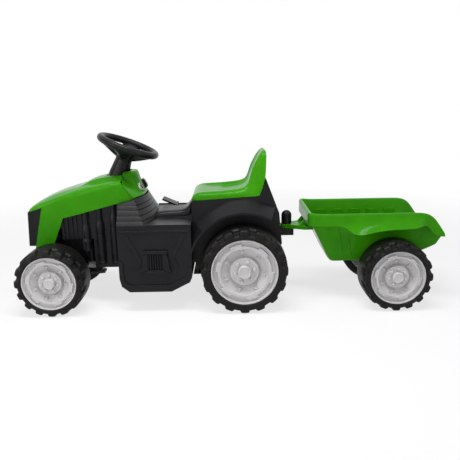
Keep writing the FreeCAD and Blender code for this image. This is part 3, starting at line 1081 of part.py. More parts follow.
def tub_block(name, inset, top):
    """Solid of the tub's outside, or of its inside when moved in by an inset."""
    body = new_body(name)
    points = by_shares(TUB_SHARES, f"tub_front_x - {inset}", f"({tub_long} + 2 * {inset})",
                       f"tub_base_z + {inset}", f"({tub_tall} + {top})")
    pad(body, trace(new_sketch(body, "XZ"), points), "2 * tub_top_half")
    for side_name, side in SIDES:
        slope = "((tub_top_half - tub_base_half) / (tub_top_z - tub_base_z))"
        low = f"{side} * (tub_base_half - {inset} - overrun * {slope})"
        high = f"{side} * (tub_top_half - {inset} + 4 * overrun * {slope})"
        far = f"{side} * 2 * tub_top_half"
        pocket(body, trace(new_sketch(body, "YZ", "tub_tail_x - overrun"), [
            (low, "tub_base_z - overrun"), (high, "tub_top_z + 4 * overrun"),
            (far, "tub_top_z + 4 * overrun"),
            (far, "tub_base_z - overrun")]), f"2 * overrun - {tub_long}", both_ways=False, reverse=True)
    return body


tub_outer = tub_block("tub_outer", "0", "0")
tub_inner = tub_block("tub_inner", "wall", "overrun")
hat = new_body("tub_rim")
SKIRT_Z = "tub_top_z - skirt_tall"
tail = by_shares(TAIL_SHARES, "tub_front_x", tub_long, "tub_base_z", tub_tall)
pad(hat, trace(new_sketch(hat, "XZ"), [
    ("skirt_end_x", SKIRT_Z), ("rim_front_x", SKIRT_Z), ("rim_front_x", "tub_top_z")] + tail[::-1] + [
    ("skirt_rear_x", "skirt_rear_z")]), "2 * rim_half")
tail_inside = [(f"{x} + 2 * wall", f"{z} - wall") for x, z in tail]
pocket(hat, trace(new_sketch(hat, "XZ"), [
    ("rim_front_x - wall", f"{SKIRT_Z} - 10 * overrun"),
    ("rim_front_x - wall", "tub_top_z - wall")] + tail_inside[::-1] + [
    ("tub_tail_x + 2 * wall", f"{SKIRT_Z} - 10 * overrun")]), "2 * rim_half - 2 * wall")
tub_flares = []
TUB_FLARE = [("flare_front_x", "flare_low_z"), ("trailer_axle_x + 8 * overrun", "flare_low_z + flare_drop"),
             ("flare_rear_x", "flare_low_z + flare_drop"),
             ("flare_rear_x - 3 * overrun", "flare_low_z + flare_drop + 2 * overrun")]
for side_name, side in SIDES:
    flare = new_body(f"tub_flare_{side_name}")
    near, far = span(side, "tub_top_half - 3 * wall", "flare_half")
    outline = TUB_FLARE + [(x, f"{z} + flare_lip") for x, z in reversed(TUB_FLARE)]
    pad(flare, trace(new_sketch(flare, "XZ", f"-({far})"), outline), f"({far}) - ({near})", both_ways=False)
    tub_flares.append(flare)
tub_shell = cut("tub_shell", fuse("tub_solid", [tub_outer, hat] + tub_flares), [tub_inner])
node("trailer_tub", tub_shell)

# Tongue from the hitch to the tub's front wall, with two gussets
TONGUE_BASE = "tow_bar_top_z + run_gap"
tongue = new_body("tongue_plate")
pad(tongue, trace(new_sketch(tongue, "XY", TONGUE_BASE), [
    ("hitch_x", "-tongue_half"), ("via", "hitch_x + tongue_half", "0"), ("hitch_x", "tongue_half"),
    ("rim_front_x", "tongue_root_half"), ("tub_front_x - 6 * overrun", "tongue_root_half"),
    ("tub_front_x - 6 * overrun", "-tongue_root_half"), ("rim_front_x", "-tongue_root_half")]),
    "tongue_thick", both_ways=False)
eye = ring(new_sketch(tongue, "XY", f"{TONGUE_BASE} + tongue_thick"), "hitch_x", "0", "hitch_pin_r + fit_gap")
pocket(tongue, eye, "tongue_thick + overrun", both_ways=False)
tongue_pieces = [tongue]
for side_name, side in SIDES:
    gusset = new_body(f"gusset_{side_name}")
    near, far = span(side, "gusset_y - gusset_thick / 2", "gusset_y + gusset_thick / 2")
    pad(gusset, trace(new_sketch(gusset, "XZ", f"-({far})"), [
        ("hitch_x - 2 * tongue_half", TONGUE_BASE), ("tub_front_x - 6 * overrun", TONGUE_BASE),
        ("tub_front_x - 6 * overrun", f"{SKIRT_Z} - run_gap"), ("rim_front_x", f"{SKIRT_Z} - run_gap"),
        ("hitch_x - 2 * tongue_half", f"{TONGUE_BASE} + tongue_thick")]), f"({far}) - ({near})",
        both_ways=False)
    tongue_pieces.append(gusset)
node("trailer_tongue", cut("trailer_tongue", fuse("tongue_solid", tongue_pieces), [tub_outer]))

# Trailer axle in two brackets under the tub's floor
TRAILER_AXLE = {"x": "trailer_axle_x", "z": "front_tyre_r"}
axle_pieces = [rod("trailer_axle_rod", "axle_r", "Y", f"-({STUB_END})", STUB_END, **TRAILER_AXLE)]
brackets = []
for side_name, side in SIDES:
    near, far = span(side, "bracket_y - bracket_half", "bracket_y + bracket_half")
    block = box(f"bracket_block_{side_name}",
                ("trailer_axle_x - bracket_long / 2", "trailer_axle_x + bracket_long / 2"),
                (near, far), ("front_tyre_r - bracket_drop", "tub_base_z"))
    bore = rod(f"bracket_bore_{side_name}", "axle_r + fit_gap", "Y", f"{near} - overrun",
               f"{far} + overrun", **TRAILER_AXLE)
    brackets.append(cut(f"axle_bracket_{side_name}", block, [bore]))
    axle_pieces.append(rod(f"trailer_axle_head_{side_name}", "washer_r", "Y",
                           *span(side, HEAD_BACK, STUB_END), **TRAILER_AXLE))
    axle_pieces.append(rod(f"trailer_axle_collar_{side_name}", "washer_r", "Y",
                           *span(side, "bracket_y + bracket_half", f"{HUB_BACK} - run_gap"), **TRAILER_AXLE))
node("axle_brackets", group("axle_brackets", brackets))
node("trailer_axle", fuse("trailer_axle", axle_pieces))

doc.recompute()
for item in doc.Objects:
    if "Invalid" in item.State or "Error" in item.State:
        raise RuntimeError(item.Name + " did not build")
for label, piece in nodes.items():
    if piece.Shape.isNull() or not piece.Shape.isValid():
        raise RuntimeError(label + " has no valid shape")
os.makedirs("parts", exist_ok=True)
for label, piece in nodes.items():
    piece.Shape.exportStep(f"parts/{label}.step")
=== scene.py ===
import bmesh
import bpy
import math
from mathutils import Matrix, Vector


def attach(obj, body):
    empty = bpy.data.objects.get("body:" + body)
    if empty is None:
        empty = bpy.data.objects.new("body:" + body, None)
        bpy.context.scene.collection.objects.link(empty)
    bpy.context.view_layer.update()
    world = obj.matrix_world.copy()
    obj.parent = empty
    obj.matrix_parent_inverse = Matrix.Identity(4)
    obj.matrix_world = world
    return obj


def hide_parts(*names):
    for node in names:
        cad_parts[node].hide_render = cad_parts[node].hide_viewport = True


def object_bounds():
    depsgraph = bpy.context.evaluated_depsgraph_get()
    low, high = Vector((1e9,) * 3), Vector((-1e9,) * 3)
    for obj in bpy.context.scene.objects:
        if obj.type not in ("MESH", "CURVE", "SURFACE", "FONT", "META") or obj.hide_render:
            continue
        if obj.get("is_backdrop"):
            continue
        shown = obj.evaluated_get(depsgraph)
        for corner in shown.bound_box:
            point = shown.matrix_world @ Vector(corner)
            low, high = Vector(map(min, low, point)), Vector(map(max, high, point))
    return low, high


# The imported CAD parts, and the camera: the toy was photographed from its left, about 1.8 m off and
# a little above it, with the camera rolled by one degree.
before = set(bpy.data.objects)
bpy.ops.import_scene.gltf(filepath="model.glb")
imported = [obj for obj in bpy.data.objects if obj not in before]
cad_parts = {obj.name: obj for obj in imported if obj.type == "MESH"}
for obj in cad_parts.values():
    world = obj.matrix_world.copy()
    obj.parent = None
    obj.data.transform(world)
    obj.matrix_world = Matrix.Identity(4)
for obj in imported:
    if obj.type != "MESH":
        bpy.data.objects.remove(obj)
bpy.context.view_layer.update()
scene = bpy.context.scene
IMAGE_SIDE = 460
FOCAL_PIXELS = 540
SENSOR_MM = 36
CAMERA_PLACE = (0.010, 1.776, 0.673)
PITCH_DOWN, YAW, ROLL = math.radians(14.23), math.radians(0.1), math.radians(1.0)
lens = bpy.data.cameras.new("photo_camera")
lens.sensor_width = SENSOR_MM
lens.lens = SENSOR_MM * FOCAL_PIXELS / IMAGE_SIDE
camera = bpy.data.objects.new("photo_camera", lens)
scene.collection.objects.link(camera)
facing = Matrix.Rotation(math.pi - YAW, 4, "Z") @ Matrix.Rotation(math.pi / 2 - PITCH_DOWN, 4, "X")
camera.matrix_world = Matrix.Translation(CAMERA_PLACE) @ facing @ Matrix.Rotation(-ROLL, 4, "Z")
scene.camera = camera
scene.view_settings.view_transform = "Standard"


# Studio: a wide sheet of pale paper that runs out into white surroundings, a broad soft lamp overhead,
# weaker ones at the front and the rear, and a narrow strip that draws a long highlight on the hood's side.
def linear(colour):
    """sRGB hex text as linear red, green, blue and alpha."""
    parts = [int(colour[i:i + 2], 16) / 255 for i in (1, 3, 5)]
    return [p / 12.92 if p <= 0.04045 else ((p + 0.055) / 1.055) ** 2.4 for p in parts] + [1.0]


def add_node(tree, kind, links=(), **settings):
    """Add one shader node: settings go to its sockets or properties by name, links are (socket, source)."""
    made = tree.nodes.new(kind)
    for name, value in settings.items():
        socket = made.inputs.get(name.replace("_", " ").title())
        if socket:
            socket.default_value = value
        else:
            setattr(made, name, value)
    for socket, source in links:
        tree.links.new(source, made.inputs[socket])
    return made


def seen_by(tree, *rays):
    """Share that is 1 for these kinds of ray, which see plain white, and 0 for rays that light the toy."""
    path = add_node(tree, "ShaderNodeLightPath")
    share = path.outputs[rays[0]]
    for kind in rays[1:]:
        either = add_node(tree, "ShaderNodeMath", [(0, share), (1, path.outputs[kind])], operation="MAXIMUM")
        share = either.outputs[0]
    return share


def add_object(name, bm):
    """Put a finished bmesh into the scene as an object at the origin."""
    mesh = bpy.data.meshes.new(name)
    bm.to_mesh(mesh)
    bm.free()
    made = bpy.data.objects.new(name, mesh)
    scene.collection.objects.link(made)
    return made


FLOOR_HALF = 60
SHADOW_REACH, WHITE_FROM, WHITE_NEAR = 0.9, 2.2, 0.72
ROOM_LIGHT = 0.26
bm = bmesh.new()
bmesh.ops.create_grid(bm, x_segments=1, y_segments=1, size=FLOOR_HALF)
floor = add_object("studio_floor", bm)
floor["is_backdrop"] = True
# White paper, matt: it takes the toy's soft shadow close by and fades to plain white further out.
paper = bpy.data.materials.new("white studio paper")
paper.use_nodes = True
tree = paper.node_tree
tree.nodes.clear()
seen = seen_by(tree, "Is Camera Ray", "Is Glossy Ray")
spot = add_node(tree, "ShaderNodeTexCoord")
away = add_node(tree, "ShaderNodeVectorMath", [(0, spot.outputs["Object"])], operation="LENGTH")
fade = add_node(tree, "ShaderNodeMapRange", [("Value", away.outputs["Value"])],
                from_min=SHADOW_REACH, from_max=WHITE_FROM, to_min=WHITE_NEAR, to_max=1.0)
share = add_node(tree, "ShaderNodeMath", [(0, seen), (1, fade.outputs["Result"])], operation="MULTIPLY")
matt = add_node(tree, "ShaderNodeBsdfDiffuse", color=linear("#F4F4F4"))
glow = add_node(tree, "ShaderNodeEmission", color=linear("#FFFFFF"), strength=1.0)
both = add_node(tree, "ShaderNodeMixShader",
                [(0, share.outputs[0]), (1, matt.outputs[0]), (2, glow.outputs[0])])
add_node(tree, "ShaderNodeOutputMaterial", [("Surface", both.outputs[0])])
floor.data.materials.append(paper)

sky = bpy.data.worlds.new("white surroundings")
scene.world = sky
sky.use_nodes = True
tree = sky.node_tree
tree.nodes.clear()
seen = seen_by(tree, "Is Camera Ray", "Is Glossy Ray", "Is Transmission Ray")
room = add_node(tree, "ShaderNodeBackground", color=linear("#F2F4F8"), strength=ROOM_LIGHT)
white = add_node(tree, "ShaderNodeBackground", color=linear("#FFFFFF"), strength=1.0)
both = add_node(tree, "ShaderNodeMixShader", [(0, seen), (1, room.outputs[0]), (2, white.outputs[0])])
add_node(tree, "ShaderNodeOutputWorld", [("Surface", both.outputs[0])])

LAMPS = (
    # name, place, point that it faces, width, height, watts
    ("overhead_softbox", (0.2, 0.65, 2.2), (0.0, 0.1, 0.2), 1.6, 0.5, 40),
    ("front_softbox", (2.0, 1.6, 1.0), (0.3, 0.0, 0.25), 0.8, 1.2, 13),
    ("rear_softbox", (-2.1, 1.3, 1.4), (-0.3, 0.0, 0.2), 1.0, 1.4, 8),
    ("strip_softbox", (0.95, 1.7, 0.75), (0.3, 0.1, 0.2), 0.22, 1.1, 4),
)
for name, place, target, wide, tall, watts in LAMPS:
    lamp = bpy.data.lights.new(name, "AREA")
    lamp.shape = "RECTANGLE"
    lamp.size, lamp.size_y, lamp.energy = wide, tall, watts
    holder = bpy.data.objects.new(name, lamp)
    scene.collection.objects.link(holder)
    aim = Vector(target) - Vector(place)
    holder.matrix_world = Matrix.Translation(place) @ aim.to_track_quat("-Z", "Y").to_matrix().to_4x4()

# Main body, one large black blow-moulded shell of polypropylene: footboards, tunnel, hanging side panels
# and the cowl with its grooves. It is the middle of the toy, and everything else is screwed to it.
MM = 0.001
PLASTIC_IOR = 1.49
COLOUR_PATCH_MM, GLOSS_PATCH_MM = 70, 9
GRAIN_DEPTH = 0.0004


def toy_finish(name, dark, light, rough, grain_mm, grain, gleam=0.3, metal=False):
    """Two close colours in broad patches, uneven gloss, and the surface's own grain in relief."""
    made = bpy.data.materials.new(name)
    made.use_nodes = True
    tree = made.node_tree
    skin = tree.nodes["Principled BSDF"]
    skin.inputs["Specular IOR Level"].default_value = gleam
    if metal:
        skin.inputs["Metallic"].default_value = 1.0
    else:
        skin.inputs["IOR"].default_value = PLASTIC_IOR
    spot = add_node(tree, "ShaderNodeTexCoord").outputs["Object"]
    patches, gloss, pits = [
        add_node(tree, "ShaderNodeTexNoise", [("Vector", spot)], scale=1000 / size, detail=detail)
        for size, detail in ((COLOUR_PATCH_MM, 3), (GLOSS_PATCH_MM, 2), (grain_mm, 2))]
    tint = add_node(tree, "ShaderNodeValToRGB", [("Fac", patches.outputs["Fac"])])
    for stop, colour, place in zip(tint.color_ramp.elements, (dark, light), (0.3, 0.7)):
        stop.color, stop.position = linear(colour), place
    spread = add_node(tree, "ShaderNodeMapRange", [("Value", gloss.outputs["Fac"])],
                      to_min=rough[0], to_max=rough[1])
    relief = add_node(tree, "ShaderNodeBump", [("Height", pits.outputs["Fac"])],
                      strength=grain, distance=GRAIN_DEPTH)
    tree.links.new(tint.outputs["Color"], skin.inputs["Base Color"])
    tree.links.new(spread.outputs["Result"], skin.inputs["Roughness"])
    tree.links.new(relief.outputs["Normal"], skin.inputs["Normal"])
    return made


def cad_mesh(node):
    """Closed bmesh copy of a CAD node: corners merged and flat faces rejoined."""
    bm = bmesh.new()
    bm.from_mesh(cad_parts[node].data)
    bmesh.ops.remove_doubles(bm, verts=bm.verts, dist=1e-5)
    bmesh.ops.dissolve_limit(bm, angle_limit=math.radians(0.6), verts=bm.verts, edges=bm.edges)
    return bm


def cut_plane(bm, point, way, dist=1e-6, clear_outer=False):
    """Cut all faces along a plane; clear_outer takes away what lies on the side that way points to."""
    return bmesh.ops.bisect_plane(bm, geom=bm.verts[:] + bm.edges[:] + bm.faces[:], dist=dist,
                                  plane_co=point, plane_no=way, clear_outer=clear_outer)


def fit(piece, material, body, nodes, edge, angle=28, wall=0):
    """Finish a piece: smooth faces, wall, rounded edges, material, its body and what it stands for."""
    for face in piece.data.polygons:
        face.use_smooth = True
    piece.data.set_sharp_from_angle(angle=math.radians(angle))
    piece.data.materials.clear()
    piece.data.materials.append(material)
    if wall:
        skin = piece.modifiers.new("wall", "SOLIDIFY")
        skin.thickness, skin.offset, skin.use_even_offset = wall, -1, True
    if edge:
        rounding = piece.modifiers.new("edge_radius", "BEVEL")
        rounding.width, rounding.segments, rounding.profile = edge, 3, 0.5
        rounding.limit_method, rounding.angle_limit = "ANGLE", math.radians(angle)
        rounding.harden_normals = True
        piece.modifiers.new("face_weighting", "WEIGHTED_NORMAL").keep_sharp = True
    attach(piece, body)
    if nodes:
        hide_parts(*nodes)


# Black polypropylene from a grained mould: a deep charcoal with a satin sheen, warmer where dust sits.
# The grain is really about 0.3 mm and is drawn at 1.6 mm, because a finer one would not show.
black_polypropylene = toy_finish("black moulded polypropylene", "#131316", "#1A191B", (0.26, 0.38),
                                 1.6, 0.10, 0.16)
COWL_GROOVES = (338, 325, 309, 295)
GROOVE_HALF, GROOVE_DEPTH = 1.3, 1.6
COWL_REAR, COWL_FRONT = 0.238, 0.354
bm = cad_mesh("main_body")
for level in COWL_GROOVES:
    for shift in (-GROOVE_HALF, 0, GROOVE_HALF):
        cut_plane(bm, (0, 0, (level + shift) * MM), (0, 0, 1))
bm.normal_update()
for vert in bm.verts:
    on_groove = any(abs(vert.co.z - level * MM) < 2e-5 for level in COWL_GROOVES)
    outside = vert.normal.x < -0.3 or vert.normal.y * vert.co.y > 0.5 * abs(vert.co.y)
    if on_groove and outside and COWL_REAR < vert.co.x < COWL_FRONT:
        vert.co -= vert.normal * GROOVE_DEPTH * MM
fit(add_object("main_body_shell", bm), black_polypropylene, "chassis", ["main_body"], 0.001)

# Relief on the side panels: a raised rim round the lower edge, two beads along the footboard, the crossed
# stiffening straps, the frame, bars and lip of the vent and four drain bumps, all part of the same moulding.
SIDES = (("left", 1), ("right", -1))
RIM_OUT = [(356, 172), (356, 114), (350, 88), (326, 69), (194, 69), (135, 99), (128, 116), (128, 150)]
RIM_IN = [(343, 166), (342, 119), (337, 100), (321, 91), (199, 92), (151, 113), (143, 123), (141, 146)]
STRAPS = [[(342, 256), (322, 250), (316, 240), (284, 176), (289, 147), (306, 147), (296, 176), (338, 240)],
          [(144, 260), (160, 257), (167, 245), (194, 180), (185, 151), (168, 151), (181, 180), (148, 245)]]
VENT_LIP = [(277, 204), (202, 204), (205, 195), (274, 195)]
VENT_FRAME = [[(276, 194), (263.5, 194), (265.5, 142), (287, 131)],
              [(204, 194), (193, 131), (214.5, 142), (216.5, 194)],
              [(265, 141), (215, 141), (194, 130.5), (286, 130.5)]]
VENT_BARS = [[(x + 1.6, 193), (x - 1.6, 193), (x - 1.6, 142), (x + 1.6, 142)]
             for x in (225, 232.5, 240, 247.5, 255)]
BEADS = [[(350, 268), (134, 268), (134, 262), (350, 262)], [(266, 286), (129, 286), (129, 279), (266, 279)]]
DRAIN_BUMPS = [[(x - 4, 99), (x + 4, 99), (x + 3, 103), (x - 3, 103)] for x in (281, 258, 230, 209)]
PANEL_ROOT, VENT_ROOT = 167.5, 171
PANEL_RELIEF = (
    # outlines of (x, z), y of the root, rise
    ([RIM_OUT + RIM_IN[::-1]], PANEL_ROOT, 5.0), (STRAPS, PANEL_ROOT, 2.8), ([VENT_LIP], VENT_ROOT, 7.0),
    (VENT_FRAME + VENT_BARS, VENT_ROOT, 5.5), (BEADS, PANEL_ROOT, 4.6), (DRAIN_BUMPS, PANEL_ROOT, 1.6),
)


def raised(bm, outline, root, rise, side):
    """Raise a flat pad with an outline of (x, z) millimetres from the side face at y = root."""
    flat = bm.faces.new([bm.verts.new(Vector((x, side * root, z)) * MM) for x, z in outline])
    lifted = bmesh.ops.extrude_face_region(bm, geom=[flat])
    bmesh.ops.translate(bm, verts=[v for v in lifted["geom"] if isinstance(v, bmesh.types.BMVert)],
                        vec=(0, side * rise * MM, 0))


for hand, side in SIDES:
    bm = bmesh.new()
    for outlines, root, rise in PANEL_RELIEF:
        for outline in outlines:
            raised(bm, outline, root, rise, side)
    bmesh.ops.recalc_face_normals(bm, faces=bm.faces)
    fit(add_object(f"{hand}_panel_relief", bm), black_polypropylene, "chassis", (), 0.0018)

# Tunnel between the footboards, part of the main body's moulding: a low rounded back, blown in the same
# mould, that sweeps up to the seat at its rear end.
TUNNEL = (
    # x, half width, height above the footboard
    (263, 49, 1), (257, 53, 12), (242, 55, 19), (190, 55, 20), (166, 55, 21.5), (150, 55, 27), (138, 54, 40),
    (129, 52, 58),
)
FOOTBOARD_Z = 283


def both_sides(half):
    """Section from the points of its left half: these, and their mirror images on the way back."""
    return [Vector(p) for p in half] + [Vector((x, -y, z)) for x, y, z in reversed(half)]


def loft(sections, closed=True):
    """Join section loops, in millimetres and of equal counts, into one skin; gives it and its corners."""
    bm = bmesh.new()
    bm.edges.layers.float.new("crease_edge")
    grid = [[bm.verts.new(Vector(p) * MM) for p in points] for points in sections]
    rows = []
    for verts in grid:
        following = verts[1:] + verts[:1] if closed else verts[1:]
        rows.append([bm.edges.new(pair) for pair in zip(verts, following)])
    for near, far in zip(rows, rows[1:]):
        bmesh.ops.bridge_loops(bm, edges=near + far)
    return bm, grid


def close_across(bm, grid):
    """Close the first and last loops, which are the same left and right, with strips from side to side."""
    for ring in (grid[0], grid[-1]):
        half = len(ring) // 2
        pairs = [pair for side in (ring[:half], ring[half:]) for pair in zip(side, side[1:])]
        bmesh.ops.bridge_loops(bm, edges=[bm.edges.get(pair) for pair in pairs])


def rounded(bm, levels=2):
    """Smooth a coarse cage, so that its corners turn into the soft radii of a blow moulding."""
    bmesh.ops.recalc_face_normals(bm, faces=bm.faces)
    cage = add_object("cage", bm)
    smoothing = cage.modifiers.new("smoothing", "SUBSURF")
    smoothing.levels = smoothing.render_levels = levels
    mesh = bpy.data.meshes.new_from_object(cage.evaluated_get(bpy.context.evaluated_depsgraph_get()))
    bpy.data.objects.remove(cage)
    bm = bmesh.new()
    bm.from_mesh(mesh)
    bpy.data.meshes.remove(mesh)
    return bm


sections = []
for x, half, tall in TUNNEL:
    # from the foot, sunk into the footboard, up the side and over to the middle
    side = [(half + 1, -2), (half, tall * 0.35), (half - 5, tall * 0.82), (half - 14, tall),
            (half * 0.4, tall + 0.6)]
    sections.append(both_sides([(x, y, FOOTBOARD_Z + z) for y, z in side]))
bm, grid = loft(sections)
close_across(bm, grid)
fit(add_object("tunnel_back", rounded(bm)), black_polypropylene, "chassis", (), 0)


# Engine moulding, black polypropylene: a ribbed block with three fat stepped columns that look like
# cylinders, screwed in front of the cowl. It carries the front axle.
def fit_node(name, node, material, body, edge):
    """Finish a piece that keeps the shape of its CAD node."""
    fit(add_object(name, cad_mesh(node)), material, body, [node], edge)


fit_node("engine_block", "engine_moulding", black_polypropylene, "chassis", 0.002)

# Columns on the engine's sides, part of the same moulding: three on each side, each like a bottle with a
# narrow neck under the hood, a round shoulder, a collar and a foot ring.
ENGINE_COLUMNS = (
    # x, height of the shoulder, height of the foot
    (468, 264, 188), (423, 277, 146), (378, 299, 146),
)
ENGINE_COLUMN_Y, BOTTLE_TOP, BOTTLE_POLE = 93, 346, 0.2
BOTTLE_STEPS = 32


def turned(bm, points, centre, axis, steps, closed=True):
    """Turn a profile once round an axis, and merge its seam."""
    verts = [bm.verts.new(p) for p in points]
    following = verts[1:] + verts[:1] if closed else verts[1:]
    edges = [bm.edges.new(pair) for pair in zip(verts, following)]
    bmesh.ops.spin(bm, geom=verts + edges, cent=centre, axis=axis, dvec=(0, 0, 0), angle=2 * math.pi,
                   steps=steps, use_merge=True)
    bmesh.ops.remove_doubles(bm, verts=bm.verts, dist=1e-6)
    bmesh.ops.recalc_face_normals(bm, faces=bm.faces)


for hand, side in SIDES:
    bm = bmesh.new()
    for x, shoulder, foot in ENGINE_COLUMNS:
        # radius and height, from the neck's top down to the foot
        outline = [
            (BOTTLE_POLE, BOTTLE_TOP), (9, BOTTLE_TOP), (9.2, shoulder + 14), (10.5, shoulder + 6),
            (13.2, shoulder - 3), (14, shoulder - 12), (14, shoulder - 30), (12.4, shoulder - 33),
            (12.4, shoulder - 37), (14, shoulder - 40), (14, foot + 36), (15, foot + 33), (15, foot + 27),
            (13.4, foot + 24), (13, foot + 5), (9, foot), (BOTTLE_POLE, foot),
        ]
        y = side * ENGINE_COLUMN_Y
        points = [Vector((x + r, y, z)) * MM for r, z in outline]
        turned(bm, points, Vector((x, y, 0)) * MM, (0, 0, 1), BOTTLE_STEPS, closed=False)
    fit(add_object(f"{hand}_engine_columns", bm), black_polypropylene, "chassis", (), 0.0012)

# Bush of the steering column, a plain ring of moulded polyamide. It is pressed into the engine moulding's
# floor, and the steel shaft turns in it.
# Natural polyamide, moulded: an off-white with a dull waxy gloss. Its fine grain is drawn coarse, at 1.5 mm.
white_polyamide = toy_finish("natural moulded polyamide", "#CFC9BC", "#D9D4C8", (0.35, 0.45), 1.5, 0.06)
fit_node("column_bearing", "column_bush", white_polyamide, "chassis", 0.0006)

# Rear body, black polypropylene: the box under the seat with a flared fender on each side. Its two front
# corners are rolled round like the rest of the moulding, and its front foot is cut to a slant.
FRONT_CORNER_X, FRONT_CORNER_Y, UPRIGHT_EDGE = 0.1275, 0.1075, 0.02
CORNER_ROLL = 0.013
FOOT_CUT_POINT, FOOT_CUT_WAY = (0.098, 0, 0.105), (47, 0, -30)
bm = cad_mesh("rear_body")
corners = [e for e in bm.edges
           if all(v.co.x > FRONT_CORNER_X and abs(v.co.y) > FRONT_CORNER_Y for v in e.verts)
           and abs(e.verts[0].co.z - e.verts[1].co.z) > UPRIGHT_EDGE]
bmesh.ops.bevel(bm, geom=corners, offset=CORNER_ROLL, offset_type="OFFSET", affect="EDGES", segments=5,
                profile=0.5, material=-1, clamp_overlap=True)
cut = cut_plane(bm, FOOT_CUT_POINT, FOOT_CUT_WAY, clear_outer=True)
open_edges = [e for e in cut["geom_cut"] if isinstance(e, bmesh.types.BMEdge)]
bmesh.ops.triangle_fill(bm, edges=open_edges, use_beauty=True)
fit(add_object("rear_body_shell", bm), black_polypropylene, "chassis", ["rear_body"], 0.003)

# Seat, glossy green polypropylene: a saddle shell with a rolled rim, a shallow pan with a step at mid
# length, and a narrow backrest that runs out in a round top. It is screwed on the rear body.
SEAT_HALVES = (
    # height, half width
    (345, 105), (361, 105), (368, 103), (372, 100.5), (380, 97), (411, 88), (438, 80), (480, 65), (490, 57),
    (497, 42),
)
SEAT_RUN = (
    # upper point x, z, lower point x, z, depth of the pan below the rim
    (127.4, 349, 127.4, 346, 0), (125.8, 355.5, 125.8, 345.8, 0), (121, 361.5, 121, 346, 0),
    (113, 366.5, 113, 346.5, 0), (102, 369.8, 102, 347, 0.5), (92, 371, 92, 347.6, 3),
    (82, 371.6, 82, 348.2, 6), (60, 372.5, 60, 349.4, 7), (33, 374, 33, 350.8, 7),
    (28, 374.4, 28, 351.1, 11), (-8, 377.4, -8, 353.2, 10), (-34, 381, -36, 354.8, 9),
    (-49, 389, -58, 356, 7), (-55, 402, -82, 357.6, 6), (-57, 408, -87.5, 358.2, 6),
    (-58.5, 413, -91, 366, 6), (-65, 436, -108.6, 408.5, 6), (-77, 461, -110.5, 450, 5),
    (-89, 481, -112.5, 479, 4), (-97.5, 491, -112, 489, 2), (-104, 496.8, -109, 495.8, 0),
)
ROLLED_SIDE = (
    # share of the way up, how far the side has pulled in there
    (0, 0), (0.28, 0), (0.52, 0.4), (0.75, 2.6), (0.92, 7), (1.0, 13),
)
PAN_EDGE = (
    # inset from the rim, share of the pan's depth
    (6, 0.15), (12, 0.75), (19, 1.0),
)
NOSE_X, NOSE_ROUND = 104, 42


def along(table, place):
    """Value at a place in a table of (place, value) rows, straight between the rows."""
    for (a, low), (b, high) in zip(table, table[1:]):
        if place <= b:
            return low + (high - low) * max(0, place - a) / (b - a)
    return table[-1][1]


def keep_crisp(bm, chain, value):
    """Keep the edges along a chain of corners crisp when the cage is smoothed."""
    layer = bm.edges.layers.float["crease_edge"]
    for pair in zip(chain, chain[1:]):
        bm.edges.get(pair)[layer] = value


sections = []
for x1, z1, x0, z0, pan in SEAT_RUN:
    step = Vector((x1 - x0, z1 - z0))
    drop = step.normalized() * pan
    side = []
    for share, pull in ROLLED_SIDE:
        x, z = x0 + step.x * share, z0 + step.y * share
        side.append((x, along(SEAT_HALVES, z) - pull - max(0, x - NOSE_X) ** 2 / NOSE_ROUND, z))
    rim = side[-1][1]
    for inset, share in PAN_EDGE:
        side.append((x1 - drop.x * share, max(rim - inset, rim * 0.4), z1 - drop.y * share))
    side.append((x1 - drop.x, rim * 0.3, z1 - drop.y))
    sections.append(both_sides(side))
bm, grid = loft(sections)
close_across(bm, grid)
for lower_edge in (0, -1):
    keep_crisp(bm, [ring[lower_edge] for ring in grid], 1.0)
# Green polypropylene from a polished mould: a strong yellowish green with a wet gloss. In place of a grain
# it has faint flow marks, about 18 mm apart.
green_polypropylene = toy_finish("green moulded polypropylene", "#318208", "#398E0A", (0.14, 0.2),
                                 18, 0.012, 0.07)
fit(add_object("seat_shell", rounded(bm)), green_polypropylene, "chassis", ["seat"], 0)

# Hood, glossy green polypropylene, one thin shell from the nose to the slanted seam before the dashboard:
# flat sides under a soft crease, a low crown and a raised back over the steering column. Two legs come down
# beside the grille, and the shell is screwed to the engine moulding.
HOOD_RUN = (
    # x, half width, height of the crease, height at the middle, share of the raised back
    (652, 91, 311, 314, 0), (649, 95, 319, 323, 0), (636, 99.5, 331, 337, 0), (610, 103, 342, 351, 0),
    (575, 105, 354, 367, 0), (535, 107.5, 367, 380, 0), (500, 108, 379, 388.5, 0), (485, 108, 384, 392, 0.2),
    (466, 108, 388, 403.5, 0.7), (446, 107.5, 392, 412, 1), (407, 107, 400, 419.5, 1),
    (349, 106, 407, 423.5, 1), (298, 105, 411, 425, 1),
)
HOOD_FOOT_Z, CREASE_RISE = 188, 3.5
# lines that trim the shell, each through two (x, z) points
EDGE_CORNER, LEG_FOOT_Z = (537, 296), 196
LOWER_EDGE = (EDGE_CORNER, (309, 354))
LEG_REAR = (EDGE_CORNER, (580, LEG_FOOT_Z))
LEG_FOOT = ((580, LEG_FOOT_Z), (640, LEG_FOOT_Z))
LEG_FRONT = ((601, 331), (636, 202))
MOUTH_TOP = ((601, 331), (657, 314.5))
SEAM = ((309, 354), (349, 409))
SEAM_TOP = ((349, 409), (349, 430))
TRIM_LINES = (LOWER_EDGE, LEG_REAR, LEG_FOOT, LEG_FRONT, MOUTH_TOP, SEAM, SEAM_TOP)
STEERING_COLUMN = Matrix.Translation((0.334, 0, 0.512)) @ Matrix.Rotation(math.radians(-21), 4, "Y")
NECK_HOLE, NECK_FLOOR = 0.037, 0.38
upright = STEERING_COLUMN.inverted()


def height_on(line, x):
    """Height at a place x on the line through two (x, z) points, also beyond them."""
    (x0, z0), (x1, z1) = line
    return z0 + (z1 - z0) * (x - x0) / (x1 - x0)


